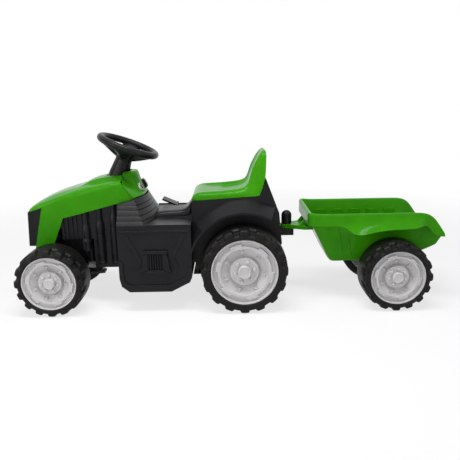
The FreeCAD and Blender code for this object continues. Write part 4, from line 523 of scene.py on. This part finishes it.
def reach_on(line, z):
    """Place x at a height on the line through two (x, z) points, also beyond them."""
    return height_on([point[::-1] for point in line], z)


def off_hood(x, z):
    """True below the hood's edge, in the grille's opening, below the legs or behind the seam."""
    corner_x, corner_z = EDGE_CORNER
    below_edge = x < corner_x and z < height_on(LOWER_EDGE, x)
    behind_leg = z < corner_z and x < reach_on(LEG_REAR, z)
    in_mouth = x > reach_on(LEG_FRONT, z) and z < height_on(MOUTH_TOP, x)
    (_, seam_low), (_, seam_high) = SEAM
    behind_seam = x < reach_on(SEAM, min(max(z, seam_low), seam_high))
    return below_edge or behind_leg or z < LEG_FOOT_Z or in_mouth or behind_seam


def crown(share, crease, top):
    """Height of the plain crown at a share of the half width."""
    return crease + CREASE_RISE + (top - crease - CREASE_RISE) * (1 - share * share)


def in_neck_way(vert):
    """True for a corner in the steering neck's round clearance."""
    return (upright @ vert.co).xy.length < NECK_HOLE and vert.co.z > NECK_FLOOR


def clear_neck(bm):
    """Push corners that lie in the steering neck's way out to its round clearance."""
    for vert in bm.verts:
        if in_neck_way(vert):
            spot = upright @ vert.co
            spot.xy = spot.xy.normalized() * NECK_HOLE
            vert.co = STEERING_COLUMN @ spot


sections = []
for x, half, crease, top, back in HOOD_RUN:
    tall = crease - HOOD_FOOT_Z
    side = [(half * 0.9, HOOD_FOOT_Z), (half * 0.945, HOOD_FOOT_Z + tall * 0.45),
            (half * 0.99, crease - tall * 0.25), (half, crease - 14), (half - 1.2, crease - 5),
            (half - 6, crease + 0.6), (half - 18, crease + 3.4)]
    # share of the half width, and the height there where the back is fully raised
    full_back = ((0.62, crease + 5.0), (0.56, crease + 6.5), (0.50, top - 3.5), (0.42, top - 1), (0.15, top))
    for share, lifted in full_back:
        side.append((half * share, crown(share, crease, top) * (1 - back) + lifted * back))
    sections.append(both_sides([(x, y, z) for y, z in side]))
bm = rounded(loft(sections, closed=False)[0])
for (x0, z0), (x1, z1) in TRIM_LINES:
    cut_plane(bm, Vector((x0, 0, z0)) * MM, Vector((z1 - z0, 0, x0 - x1)), dist=1e-7)
middles = [(face, face.calc_center_median() / MM) for face in bm.faces]
gone = [face for face, middle in middles if off_hood(middle.x, middle.z)]
bmesh.ops.delete(bm, geom=gone, context="FACES")
inside = {v for v in bm.verts if in_neck_way(v)}
bmesh.ops.delete(bm, geom=[f for f in bm.faces if inside.issuperset(f.verts)], context="FACES")
clear_neck(bm)
if sum(f.normal.z * f.calc_area() for f in bm.faces) < 0:
    bmesh.ops.reverse_faces(bm, faces=bm.faces)
fit(add_object("hood_shell", bm), green_polypropylene, "chassis", ["hood"], 0.0009,
    angle=50, wall=0.003)

# Front grille, black polypropylene with cooling slots, wrapped round the nose below the hood and screwed to
# the engine moulding. Its face widens between the hood's legs and leans forward towards the foot.
FACE_START, FACE_RUN = 0.634, 0.0165
FACE_WIDER, FACE_LEAN, FACE_TOP_Z = 0.26, 0.075, 0.314
bm = cad_mesh("front_grille")
for vert in bm.verts:
    ahead = min(max((vert.co.x - FACE_START) / FACE_RUN, 0), 1)
    vert.co.y *= 1 + FACE_WIDER * ahead
    vert.co.x += ahead * (FACE_TOP_Z - vert.co.z) * FACE_LEAN
fit(add_object("grille_shell", bm), black_polypropylene, "chassis", ["front_grille"], 0.002)

# Dashboard, glossy green polypropylene: two low shelves and a central hump round the steering neck, with a
# rear face that bows back and leans forward towards the top. It is clipped between the seam and the cowl.
HUMP = (
    # height, half width, x of the rear edge, how far it bows, x of the front
    (358, 62, 280.5, 15.5, 311), (362, 62, 281.5, 15.5, 314), (376, 59, 287.5, 16, 324.5),
    (396, 53.5, 295, 16.5, 341), (412, 51, 300.5, 17, 352), (423, 49, 303, 16, 352), (430, 44, 307, 13, 350),
    (433.2, 34, 313, 9, 345),
)
SHELF_EDGE = (
    # distance from the middle, height of the front edge
    (107.5, 384), (106, 394), (102, 401), (95, 404), (76, 407), (64, 410), (58, 412.5), (52, 419),
    (38, 421.5),
)
SEAM_GAP = 0.6
SHELF_FRONT, SHELF_REAR, SHELF_BOW, SHELF_HALF = 311, 278, 30, 110
SHELF_FLOOR, SHELF_LIP, SHELF_SILL, SHELF_BASE, SHELF_DISH = 357.5, 360.5, 363.5, 361, 2.5
SLOPE_FRONT, SLOPE_REAR = 0.55, 0.45
TUCK, TUCK_HALF = 3, 70


def bowed_ring(z, half, rear, bow, front):
    """Plan outline at one height: bowed rear edge, straight sides and front, corners cut."""
    side = [(front, half * 0.35), (front, half * 0.85), (front - 1, half), ((front + rear + bow) / 2, half),
            (rear + bow * 0.93, half * 0.97), (rear + bow * 0.56, half * 0.75),
            (rear + bow * 0.12, half * 0.35)]
    return both_sides([(x, y, z) for x, y in side])


def cap_ends(bm, grid):
    """Close the first and last loops with one face each."""
    for ring in (grid[0], grid[-1]):
        bm.faces.new(ring)


def join(bm, other):
    """Add a finished bmesh to a larger one; gives its corners there."""
    start = len(bm.verts)
    mesh = bpy.data.meshes.new("joined")
    other.to_mesh(mesh)
    other.free()
    bm.from_mesh(mesh)
    bpy.data.meshes.remove(mesh)
    bm.verts.ensure_lookup_table()
    return bm.verts[start:]


sections = []
for y, high in SHELF_EDGE + tuple((-y, high) for y, high in reversed(SHELF_EDGE)):
    front = reach_on(SEAM, min(high, SEAM[1][1])) - SEAM_GAP
    rear = SHELF_REAR + SHELF_BOW * (y / SHELF_HALF) ** 2
    # near the middle the front edge is tucked under the hood's raised back
    tuck = TUCK if abs(y) < TUCK_HALF else 0
    slope_z = high * SLOPE_FRONT + SHELF_BASE * SLOPE_REAR - SHELF_DISH
    sections.append([
        (SHELF_FRONT, y, SHELF_FLOOR), (front + tuck, y, high - tuck),
        (front * SLOPE_FRONT + rear * SLOPE_REAR, y, slope_z),
        (rear + 4, y, SHELF_SILL), (rear, y, SHELF_LIP), (rear + 0.5, y, SHELF_FLOOR)])
shelf, grid = loft(sections)
cap_ends(shelf, grid)
for corner in (0, 1):
    keep_crisp(shelf, [ring[corner] for ring in grid], 1.0)
hump, grid = loft([bowed_ring(*row) for row in HUMP])
close_across(hump, grid)
hump = rounded(hump)
clear_neck(hump)
bm = bmesh.new()
join(bm, rounded(shelf))
join(bm, hump)
fit(add_object("dashboard_shell", bm), green_polypropylene, "chassis", ["dashboard"], 0)

# Controls on the dashboard's rear face: a push button in a pale surround and a rocker switch in its frame,
# all snapped in from behind. The button and its surround are set 4 mm into the face.
# Black ABS: harder and glossier than the body's polypropylene. Its fine grain is drawn coarse, at 2 mm.
black_abs = toy_finish("black moulded ABS", "#121214", "#1A1A1C", (0.2, 0.3), 2, 0.04)
BUTTON_SUNK = Vector((0.891, 0, -0.454)) * 4 * MM
BUTTON_PIECES = (
    ("button_surround", "button_bezel", white_polyamide, "chassis", "pale_plastic"),
    ("push_button", "power_button", black_abs, "power_button", "button_plastic"),
)
CONTROL_EDGE = 0.0009
for name, node, material, body, slot in BUTTON_PIECES:
    bm = cad_mesh(node)
    bmesh.ops.translate(bm, verts=bm.verts, vec=BUTTON_SUNK)
    fit(add_object(name, bm), material, body, [node], CONTROL_EDGE)
fit_node("rocker_frame", "switch_housing", black_abs, "chassis", CONTROL_EDGE)
fit_node("rocker", "drive_switch", black_abs, "drive_switch", CONTROL_EDGE)

# Steering wheel, black polypropylene, moulded in one: a round rim on four deep spokes that run down to the
# hub like a funnel. The hub is fixed on the shaft's upper end.
RIM_R, TUBE_R = 0.091, 0.0118
TUBE_STEPS, RIM_STEPS, HUB_STEPS = 20, 72, 48
SPOKES, SPOKE_TOP_SHARE = 4, 0.85
SPOKE = (
    # distance from the axis, lower and upper face, half width
    (14, -48, -16, 13), (26, -47, -14, 16), (42, -40, -11, 21), (58, -31, -8, 27), (74, -22, -3, 34),
    (88, -13, 2, 42),
)
HUB = (
    # radius, height
    (0.0225, -0.0480), (0.0255, -0.0490), (0.0275, -0.0460), (0.0290, -0.0300), (0.0300, -0.0150),
    (0.0285, -0.0120), (0.0225, -0.0120),
)
bm = bmesh.new()
tube_place = Matrix.Translation((RIM_R, 0, 0)) @ Matrix.Rotation(math.pi / 2, 4, "X")
made = bmesh.ops.create_circle(bm, segments=TUBE_STEPS, radius=TUBE_R, matrix=tube_place)
ring = made["verts"] + list({e for v in made["verts"] for e in v.link_edges})
bmesh.ops.spin(bm, geom=ring, cent=(0, 0, 0), axis=(0, 0, 1), dvec=(0, 0, 0), angle=2 * math.pi,
               steps=RIM_STEPS, use_merge=True)
bmesh.ops.remove_doubles(bm, verts=bm.verts, dist=1e-6)
sections = []
for r, low, high, half in SPOKE:
    top = half * SPOKE_TOP_SHARE
    sections.append([(r, half, low), (r, top, high), (r, -top, high), (r, -half, low)])
spoke, grid = loft(sections)
cap_ends(spoke, grid)
spoke = rounded(spoke)
for index in range(SPOKES):
    spoke_turn = Matrix.Rotation(2 * math.pi / SPOKES * index, 3, "Z")
    bmesh.ops.rotate(bm, verts=join(bm, spoke.copy()), cent=(0, 0, 0), matrix=spoke_turn)
spoke.free()
turned(bm, [(r, 0, z) for r, z in HUB], (0, 0, 0), (0, 0, 1), HUB_STEPS)
bmesh.ops.transform(bm, matrix=STEERING_COLUMN, verts=bm.verts)
fit(add_object("steering_rim", bm), black_polypropylene, "steering", ["steering_wheel"], 0)

# Horn pad, flared sleeve and shaft of the steering: the pad snaps into the hub, the sleeve covers the steel
# shaft, whose cranked end moves the tie rod. The sleeve's foot dips 10 mm further into the hood.
SLEEVE_FOOT, SLEEVE_DIP = -0.098, 0.010
fit_node("horn_pad", "horn_button", black_abs, "horn_button", 0.001)
bm = cad_mesh("steering_neck")
foot = [v for v in bm.verts if (upright @ v.co).z < SLEEVE_FOOT]
bmesh.ops.translate(bm, verts=foot, vec=STEERING_COLUMN.to_3x3() @ Vector((0, 0, -SLEEVE_DIP)))
fit(add_object("steering_sleeve", bm), black_polypropylene, "steering", ["steering_neck"],
    0.002)
# Zinc plate on steel: a cool bright metal with a faint cloudy spangle of 2.5 mm.
zinc_steel = toy_finish("zinc plated steel", "#A9ABAC", "#BDBDBA", (0.3, 0.42), 2.5, 0.05, 0.5, metal=True)
fit_node("steering_rod", "steering_shaft", zinc_steel, "steering", 0.001)

# Front axle and steering linkage under the engine moulding: a plastic beam with two steel kingpins,
# pressed-steel knuckles with stub axles and arms, and the tie rod between the arms.
# Black paint on steel: thin and even, with a slight orange peel of 2.5 mm.
painted_steel = toy_finish("black painted steel", "#101010", "#171717", (0.35, 0.45), 2.5, 0.08)
FITTING_EDGE = 0.001
fit_node("axle_beam", "front_axle_beam", black_polypropylene, "chassis", FITTING_EDGE)
fit_node("king_pins", "kingpins", zinc_steel, "chassis", FITTING_EDGE)
for hand, _ in SIDES:
    knuckle = f"knuckle_{hand}"
    fit_node(f"{hand}_knuckle", knuckle, painted_steel, knuckle, FITTING_EDGE)
fit_node("track_rod", "tie_rod", painted_steel, "tie_rod", FITTING_EDGE)

# Drive under the seat: battery, control case, motor with its gear case, and the rear axle rod with the dog
# that turns the right wheel; a screwed cover closes the bay from below.
fit_node("floor_cover", "underside_cover", black_polypropylene, "chassis", FITTING_EDGE)
fit_node("cover_screw_heads", "cover_screws", zinc_steel, "chassis", FITTING_EDGE)
fit_node("battery_block", "battery", black_abs, "chassis", FITTING_EDGE)
fit_node("control_case", "control_box", white_polyamide, "chassis", FITTING_EDGE)
fit_node("gear_case", "gearbox", black_polypropylene, "chassis", FITTING_EDGE)
fit_node("motor_can", "drive_motor", zinc_steel, "chassis", FITTING_EDGE)
fit_node("rear_axle_rod", "rear_axle", zinc_steel, "chassis", FITTING_EDGE)
fit_node("wheel_dog", "drive_dog", white_polyamide, "rear_right_wheel", FITTING_EDGE)

# Accelerator pedal on the right footboard: a ribbed plate of black polypropylene that tips on a steel pin.
# The pin is held in a bracket, which is screwed to the footboard.
PEDAL_EDGE = 0.0012
fit_node("pedal_base", "pedal_bracket", black_polypropylene, "chassis", PEDAL_EDGE)
fit_node("pedal_hinge", "pedal_pin", zinc_steel, "chassis", PEDAL_EDGE)
fit_node("pedal_plate", "accelerator_pedal", black_polypropylene, "accelerator_pedal",
         PEDAL_EDGE)

# Tow bar and hitch pin, black polypropylene: a flat tongue out of the tail, moulded thick enough to pull the
# trailer, and a loose pin with a domed knob that drops through it.
fit_node("tow_plate", "tow_bar", black_polypropylene, "chassis", 0.002)
fit_node("hitch_knob", "hitch_pin", black_polypropylene, "hitch_pin", 0.0025)

# Trailer tub, glossy green polypropylene, blow-moulded in one: sloping walls, a broad rolled rim that is
# higher at the front, a skirt that swells out over each wheel, and a spout at the tail.
TUB_RUN = (
    # rim x, y, z, way to the inside x, y, skirt edge y, z, floor corner x, y
    (-239, 55, 302, -1, 0, 55, 262, -320, 48), (-239, 100, 302, -1, -0.1, 100, 262, -320, 74),
    (-241, 122, 303, -0.8, -0.6, 122, 262, -322, 88), (-250, 131, 303, -0.4, -0.9, 131, 262, -328, 94),
    (-272, 132, 301, 0, -1, 133, 261, -338, 94), (-292, 132, 300, 0, -1, 133, 261, -350, 94),
    (-330, 132, 300, 0, -1, 133, 261, -372, 91), (-358, 132, 300, 0, -1, 134, 258, -388, 91),
    (-378, 132, 300, 0, -1, 146, 238, -402, 91), (-396, 132, 300, 0, -1, 163, 236, -416, 91),
    (-440, 132, 300, 0, -1, 166, 247, -448, 91), (-480, 132, 300, 0, -1, 166, 254.5, -480, 91),
    (-540, 132, 300, 0, -1, 166, 256, -524, 91), (-580, 132, 300, 0, -1, 164, 257, -548, 91),
    (-598, 132, 299, 0, -1, 146, 265, -566, 92), (-616, 132, 296, 0.1, -1, 134, 256, -584, 93),
    (-634, 132, 286, 0.2, -1, 133, 232, -606, 95), (-650, 132, 266, 0.3, -1, 132.5, 224, -628, 98),
    (-666, 131, 243, 0.4, -0.9, 132, 222, -644, 102), (-677, 127, 229, 0.5, -0.7, 128, 220, -654, 104),
    (-679.9, 100, 226, 0.5, -0.1, 101, 219, -656, 84), (-679.9, 45, 226, 0.5, 0, 45, 219, -656, 40),
)
TUB_FLOOR = (
    # x, height of the floor
    (-675, 206), (-621, 174), (-540, 137.5), (-300, 137.5),
)
TUB_CREASES = (
    # level round the tub, how crisp it stays: two on the rim, the skirt's edge, two under the floor
    (4, 0.3), (7, 0.5), (9, 0.85), (13, 0.5), (14, 0.4),
)


def up(rise):
    """Step upwards in millimetres."""
    return Vector((0, 0, rise))


runs = []
for x, y, z, ux, uy, skirt_y, skirt_z, floor_x, floor_y in TUB_RUN:
    rim, into = Vector((x, y, z)), Vector((ux, uy, 0))
    lip = Vector((x, skirt_y, skirt_z))
    foot = Vector((floor_x, floor_y, along(TUB_FLOOR, floor_x)))
    wall = rim + into * 16 - up(10)
    bulge = rim.lerp(lip, 0.62) - Vector((0, (skirt_y - y) * 0.45, 0))
    shell = foot - into * 7
    top = Vector((wall.x, wall.y, max(lip.z + 6, foot.z + 8))) - into * 4
    # from the floor up the inner wall, over the rim, down to the skirt's edge, and back below to the floor
    runs.append((
        foot + into * 8, foot.lerp(wall, 0.06), foot.lerp(wall, 0.5), wall, rim + into * 14 - up(2),
        rim + into * 7 + up(0.4), rim + into * 1.5 - up(0.8), rim - up(6), bulge, lip,
        lip + into * 3.5 + up(1.5), bulge + into * 4, top, top.lerp(shell, 0.93), foot - into - up(3.6)))
bm, grid = loft([both_sides(level) for level in zip(*runs)])
close_across(bm, grid)
for level, value in TUB_CREASES:
    keep_crisp(bm, grid[level] + grid[level][:1], value)
fit(add_object("tub_shell", rounded(bm)), green_polypropylene, "trailer", ["trailer_tub"], 0)

# Relief on the tub, part of its moulding: upright ribs on the outer walls before the wheel and a row of five
# raised pads along each inner wall.
RIBS_X, PADS_X = (-302, -334, -362), (-317, -377, -437, -499, -560)
RIB_SECTION = (
    # step along the wall, step out of it
    (-5, 0), (-3.5, 4), (3.5, 4), (5, 0),
)
PAD_ROOT, PAD_RISE = 102.5, 7.5
bm = bmesh.new()
for _, side in SIDES:
    for x in RIBS_X:
        ends = (Vector((x - 20, side * 99, 158)), Vector((x, side * 117, 258)))
        rib, grid = loft([[end + Vector((run, side * out, 0)) for run, out in RIB_SECTION] for end in ends])
        cap_ends(rib, grid)
        join(bm, rib)
    for x in PADS_X:
        outline = [(x - 17, 236), (x + 17, 236), (x + 16, 267), (x - 16, 267)]
        raised(bm, outline, PAD_ROOT, PAD_RISE, side)
bmesh.ops.recalc_face_normals(bm, faces=bm.faces)
fit(add_object("tub_relief", bm), green_polypropylene, "trailer", (), 0.0014)

# Trailer's running gear: a green tongue that reaches to the hitch pin, two black brackets screwed under the
# tub's floor, and the steel axle rod that they hold.
fit_node("tongue_plate", "trailer_tongue", green_polypropylene, "trailer", 0.003)
fit_node("tub_brackets", "axle_brackets", black_polypropylene, "trailer", 0.0015)
fit_node("trailer_axle_rod", "trailer_axle", zinc_steel, "trailer", FITTING_EDGE)

# Wheels: a blow-moulded black tyre with lug pockets round its outer shoulder, a silver-grey disc with a
# notched ring, V tabs and bolt heads, and a round cap, pressed in, that hides the axle's end.
# Tyre plastic: a dull warm black, grained all over. The grain is drawn coarse, at 1.8 mm, so that it shows.
tyre_plastic = toy_finish("black moulded tyre plastic", "#100F0F", "#181715", (0.4, 0.52), 1.8, 0.14, 0.16)
# Silver-grey ABS: pale, slightly cool, with a soft gloss. Its fine grain is drawn coarse too, at 2.5 mm.
silver_abs = toy_finish("silver-grey moulded ABS", "#BBB9BA", "#C5C3C3", (0.26, 0.36), 2.5, 0.03, 0.2)
WHEELS = (
    # axle, its x, radius, width, radius of the rim, bolts
    ("front", 0.570, 0.10995, 0.094, 0.085, 7), ("rear", -0.036, 0.13595, 0.100, 0.104, 6),
    ("trailer", -0.511, 0.10995, 0.094, 0.085, 7),
)
TRACK, TYRE_EASE = 0.203, 0.00005
DISC_EDGE = 0.0008
# lugs round the tyre's shoulder; a pocket's place, lip and depth, and the band in which it slants
LUGS, LUG_STEPS = 16, 8
POCKET_FOOT, POCKET_REACH, POCKET_FROM, POCKET_TO = 0.86, 0.030, 0.22, 0.78
POCKET_LIP, POCKET_DEPTH = 0.0015, 0.0075
SLANT_FOOT, SLANT_HEAD, SLANT_FROM, SLANT_TO, SLANT = 0.84, 0.95, 0.15, 0.85, 0.22
# the disc's notched ring and its lobes, then bolt heads and V tabs; reaches and radii are shares of the rim
DISC_STEPS, CAP_STEPS = 84, 48
RING_IN, RING_OUT, LOBE_OUT, LOBES, LOBE_SHARE = 0.70, 0.82, 0.885, 6, 0.45
RING_FACE, RING_BEVEL, RING_RISE, FACE_SLACK = -0.0128, 0.0022, 0.0062, 0.0002
BOLT_SIDES, BOLT_REACH, BOLT_FOOT, BOLT_HEAD, BOLT_TALL, BOLT_START = 6, 0.305, 0.066, 0.045, 0.0090, 0.2
TABS, TAB_REACH, TAB_R, TAB_ROOT, TAB_RISE, TAB_START = 7, 0.605, 0.092, -0.0235, 0.0095, 0.4
TAB_BEVEL, TAB_DISH = 0.0020, 0.0018
BORE_R, HUB_R, CAP_SHARE, CAP_POLE = 0.0061, 0.016, 0.2, 0.0002


def at_wheel(bm, x, radius, side):
    """Carry a wheel piece, made round the Y axis with its face at zero, to its place on the axle."""
    place = Matrix.Translation((x, side * TRACK, radius + TYRE_EASE))
    facing = Matrix.Rotation(0 if side > 0 else math.pi, 4, "Z")
    bmesh.ops.transform(bm, matrix=place @ facing, verts=bm.verts)


def wheel_profile(points, steps):
    """Turn a closed profile of (radius, depth) points once round the Y axis."""
    bm = bmesh.new()
    turned(bm, [(r, y, 0) for r, y in points], (0, 0, 0), (0, 1, 0), steps)
    return bm


def round_axle(spot, count):
    """Distance from the axle, and the share of the way through one of count equal steps round it."""
    return math.hypot(spot.x, spot.z), math.atan2(spot.z, spot.x) / (2 * math.pi) * count % 1


def tyre(radius, width, rim):
    """Tyre with its outer face at depth zero, lug pockets on the outer shoulder and a plain crown behind."""
    half = width / 2
    outer = [(rim, half - 0.012), (rim + 0.0005, half - 0.004), (rim + 0.003, half - 0.001),
             (radius * 0.80, half - 0.0008), (radius * 0.855, half - 0.0008), (radius * 0.93, half - 0.001),
             (radius * 0.972, half - 0.003), (radius * 0.993, half - 0.008), (radius, half - 0.016),
             (radius, half - POCKET_REACH), (radius, half * 0.12)]
    inner = [(radius, 0.014 - half), (radius * 0.992, 0.006 - half), (radius * 0.965, 0.002 - half),
             (radius * 0.91, 0.001 - half), (rim + 0.003, 0.001 - half), (rim, 0.012 - half)]
    bm = wheel_profile([(r, y - half) for r, y in outer + inner], LUGS * LUG_STEPS)
    for vert in bm.verts:
        reach, turn = round_axle(vert.co, LUGS)
        on_shoulder = vert.co.y > -half and radius * SLANT_FOOT < reach < radius * SLANT_HEAD
        if on_shoulder and SLANT_FROM < turn < SLANT_TO:
            swing = Matrix.Rotation((turn - 0.5) * SLANT / LUGS * 2 * math.pi, 3, "Y")
            bmesh.ops.rotate(bm, verts=[vert], cent=(0, 0, 0), matrix=swing)
    pockets = []
    for face in bm.faces:
        middle = face.calc_center_median()
        reach, turn = round_axle(middle, LUGS)
        on_shoulder = middle.y > -POCKET_REACH and radius * POCKET_FOOT < reach
        if on_shoulder and POCKET_FROM < turn < POCKET_TO:
            pockets.append(face)
    bmesh.ops.inset_region(bm, faces=pockets, thickness=POCKET_LIP, depth=-POCKET_DEPTH, use_even_offset=True)
    return bm


def spaced_round(count, start, reach, depth):
    """Places equally spaced round the axle, each facing out of the wheel."""
    for index in range(count):
        turn = Matrix.Rotation(2 * math.pi * (index + start) / count, 4, "Y")
        yield turn @ Matrix.Translation((reach, depth, 0)) @ Matrix.Rotation(-math.pi / 2, 4, "X")


def disc(width, rim, bolts):
    """Wheel disc with its lip just inside the tyre's face."""
    seat, back_y, foot_y = rim * CAP_SHARE, -0.95 * width, 0.002 - width
    front = [(BORE_R, -0.016), (0.011, -0.016), (0.011, -0.009), (seat, -0.009), (seat, -0.015),
             (rim * 0.415, -0.015), (rim * 0.435, -0.018), (rim * 0.445, -0.0255), (rim * 0.47, -0.0272),
             (rim * 0.68, -0.0152), (rim * RING_IN, RING_FACE), (rim * RING_OUT, RING_FACE),
             (rim * LOBE_OUT, RING_FACE), (rim * 0.94, RING_FACE), (rim * 0.962, -0.003), (rim, -0.003)]
    back = [(rim, back_y), (rim - 0.003, back_y), (rim - 0.003, -0.0165), (rim * RING_IN, -0.0175),
            (rim * 0.47, -0.031), (HUB_R, -0.031), (HUB_R, foot_y), (BORE_R, foot_y)]
    bm = wheel_profile(front + back, DISC_STEPS)
    ridges = []
    for face in bm.faces:
        middle = face.calc_center_median()
        reach, turn = round_axle(middle, LOBES)
        on_ring = RING_IN < reach / rim < RING_OUT
        on_lobe = RING_OUT < reach / rim < LOBE_OUT and turn < LOBE_SHARE
        if middle.y > RING_FACE - FACE_SLACK and (on_ring or on_lobe):
            ridges.append(face)
    bmesh.ops.inset_region(bm, faces=ridges, thickness=RING_BEVEL, depth=RING_RISE, use_even_offset=True)
    for place in spaced_round(bolts, BOLT_START, rim * BOLT_REACH, RING_FACE):
        bmesh.ops.create_cone(bm, segments=BOLT_SIDES, radius1=rim * BOLT_FOOT, radius2=rim * BOLT_HEAD,
                              depth=BOLT_TALL, cap_ends=True, matrix=place)
    for place in spaced_round(TABS, TAB_START, rim * TAB_REACH, TAB_ROOT):
        made = bmesh.ops.create_circle(bm, segments=3, radius=rim * TAB_R, cap_ends=True,
                                       matrix=place @ Matrix.Rotation(math.pi, 4, "Z"))
        lifted = bmesh.ops.extrude_face_region(bm, geom=[made["verts"][0].link_faces[0]])
        top = [f for f in lifted["geom"] if isinstance(f, bmesh.types.BMFace)]
        bmesh.ops.translate(bm, verts=top[0].verts, vec=(0, TAB_RISE, 0))
        bmesh.ops.inset_region(bm, faces=top, thickness=TAB_BEVEL, depth=-TAB_DISH)
    return bm


def cap(rim):
    """Centre cap with a shallow round recess in its face."""
    edge = rim * CAP_SHARE
    return wheel_profile([(CAP_POLE, -0.009), (edge, -0.009), (edge, -0.0045), (edge - 0.0025, -0.002),
                          (edge * 0.78, -0.002), (edge * 0.72, -0.0032), (CAP_POLE, -0.0032)], CAP_STEPS)


for axle, x, radius, width, rim, bolts in WHEELS:
    for hand, side in SIDES:
        wheel = f"{axle}_{hand}"
        mouldings = (
            ("tyre", rounded(tyre(radius, width, rim), 1), tyre_plastic, "tyre_plastic", 0),
            ("disc", disc(width, rim, bolts), silver_abs, "grey_plastic", DISC_EDGE),
            ("cap", cap(rim), silver_abs, "grey_plastic", DISC_EDGE),
        )
        for label, bm, material, slot, edge in mouldings:
            at_wheel(bm, x, radius, side)
            piece = add_object(f"{wheel}_{label}_moulding", bm)
            fit(piece, material, wheel + "_wheel", [f"{wheel}_{label}"], edge)

low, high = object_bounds()
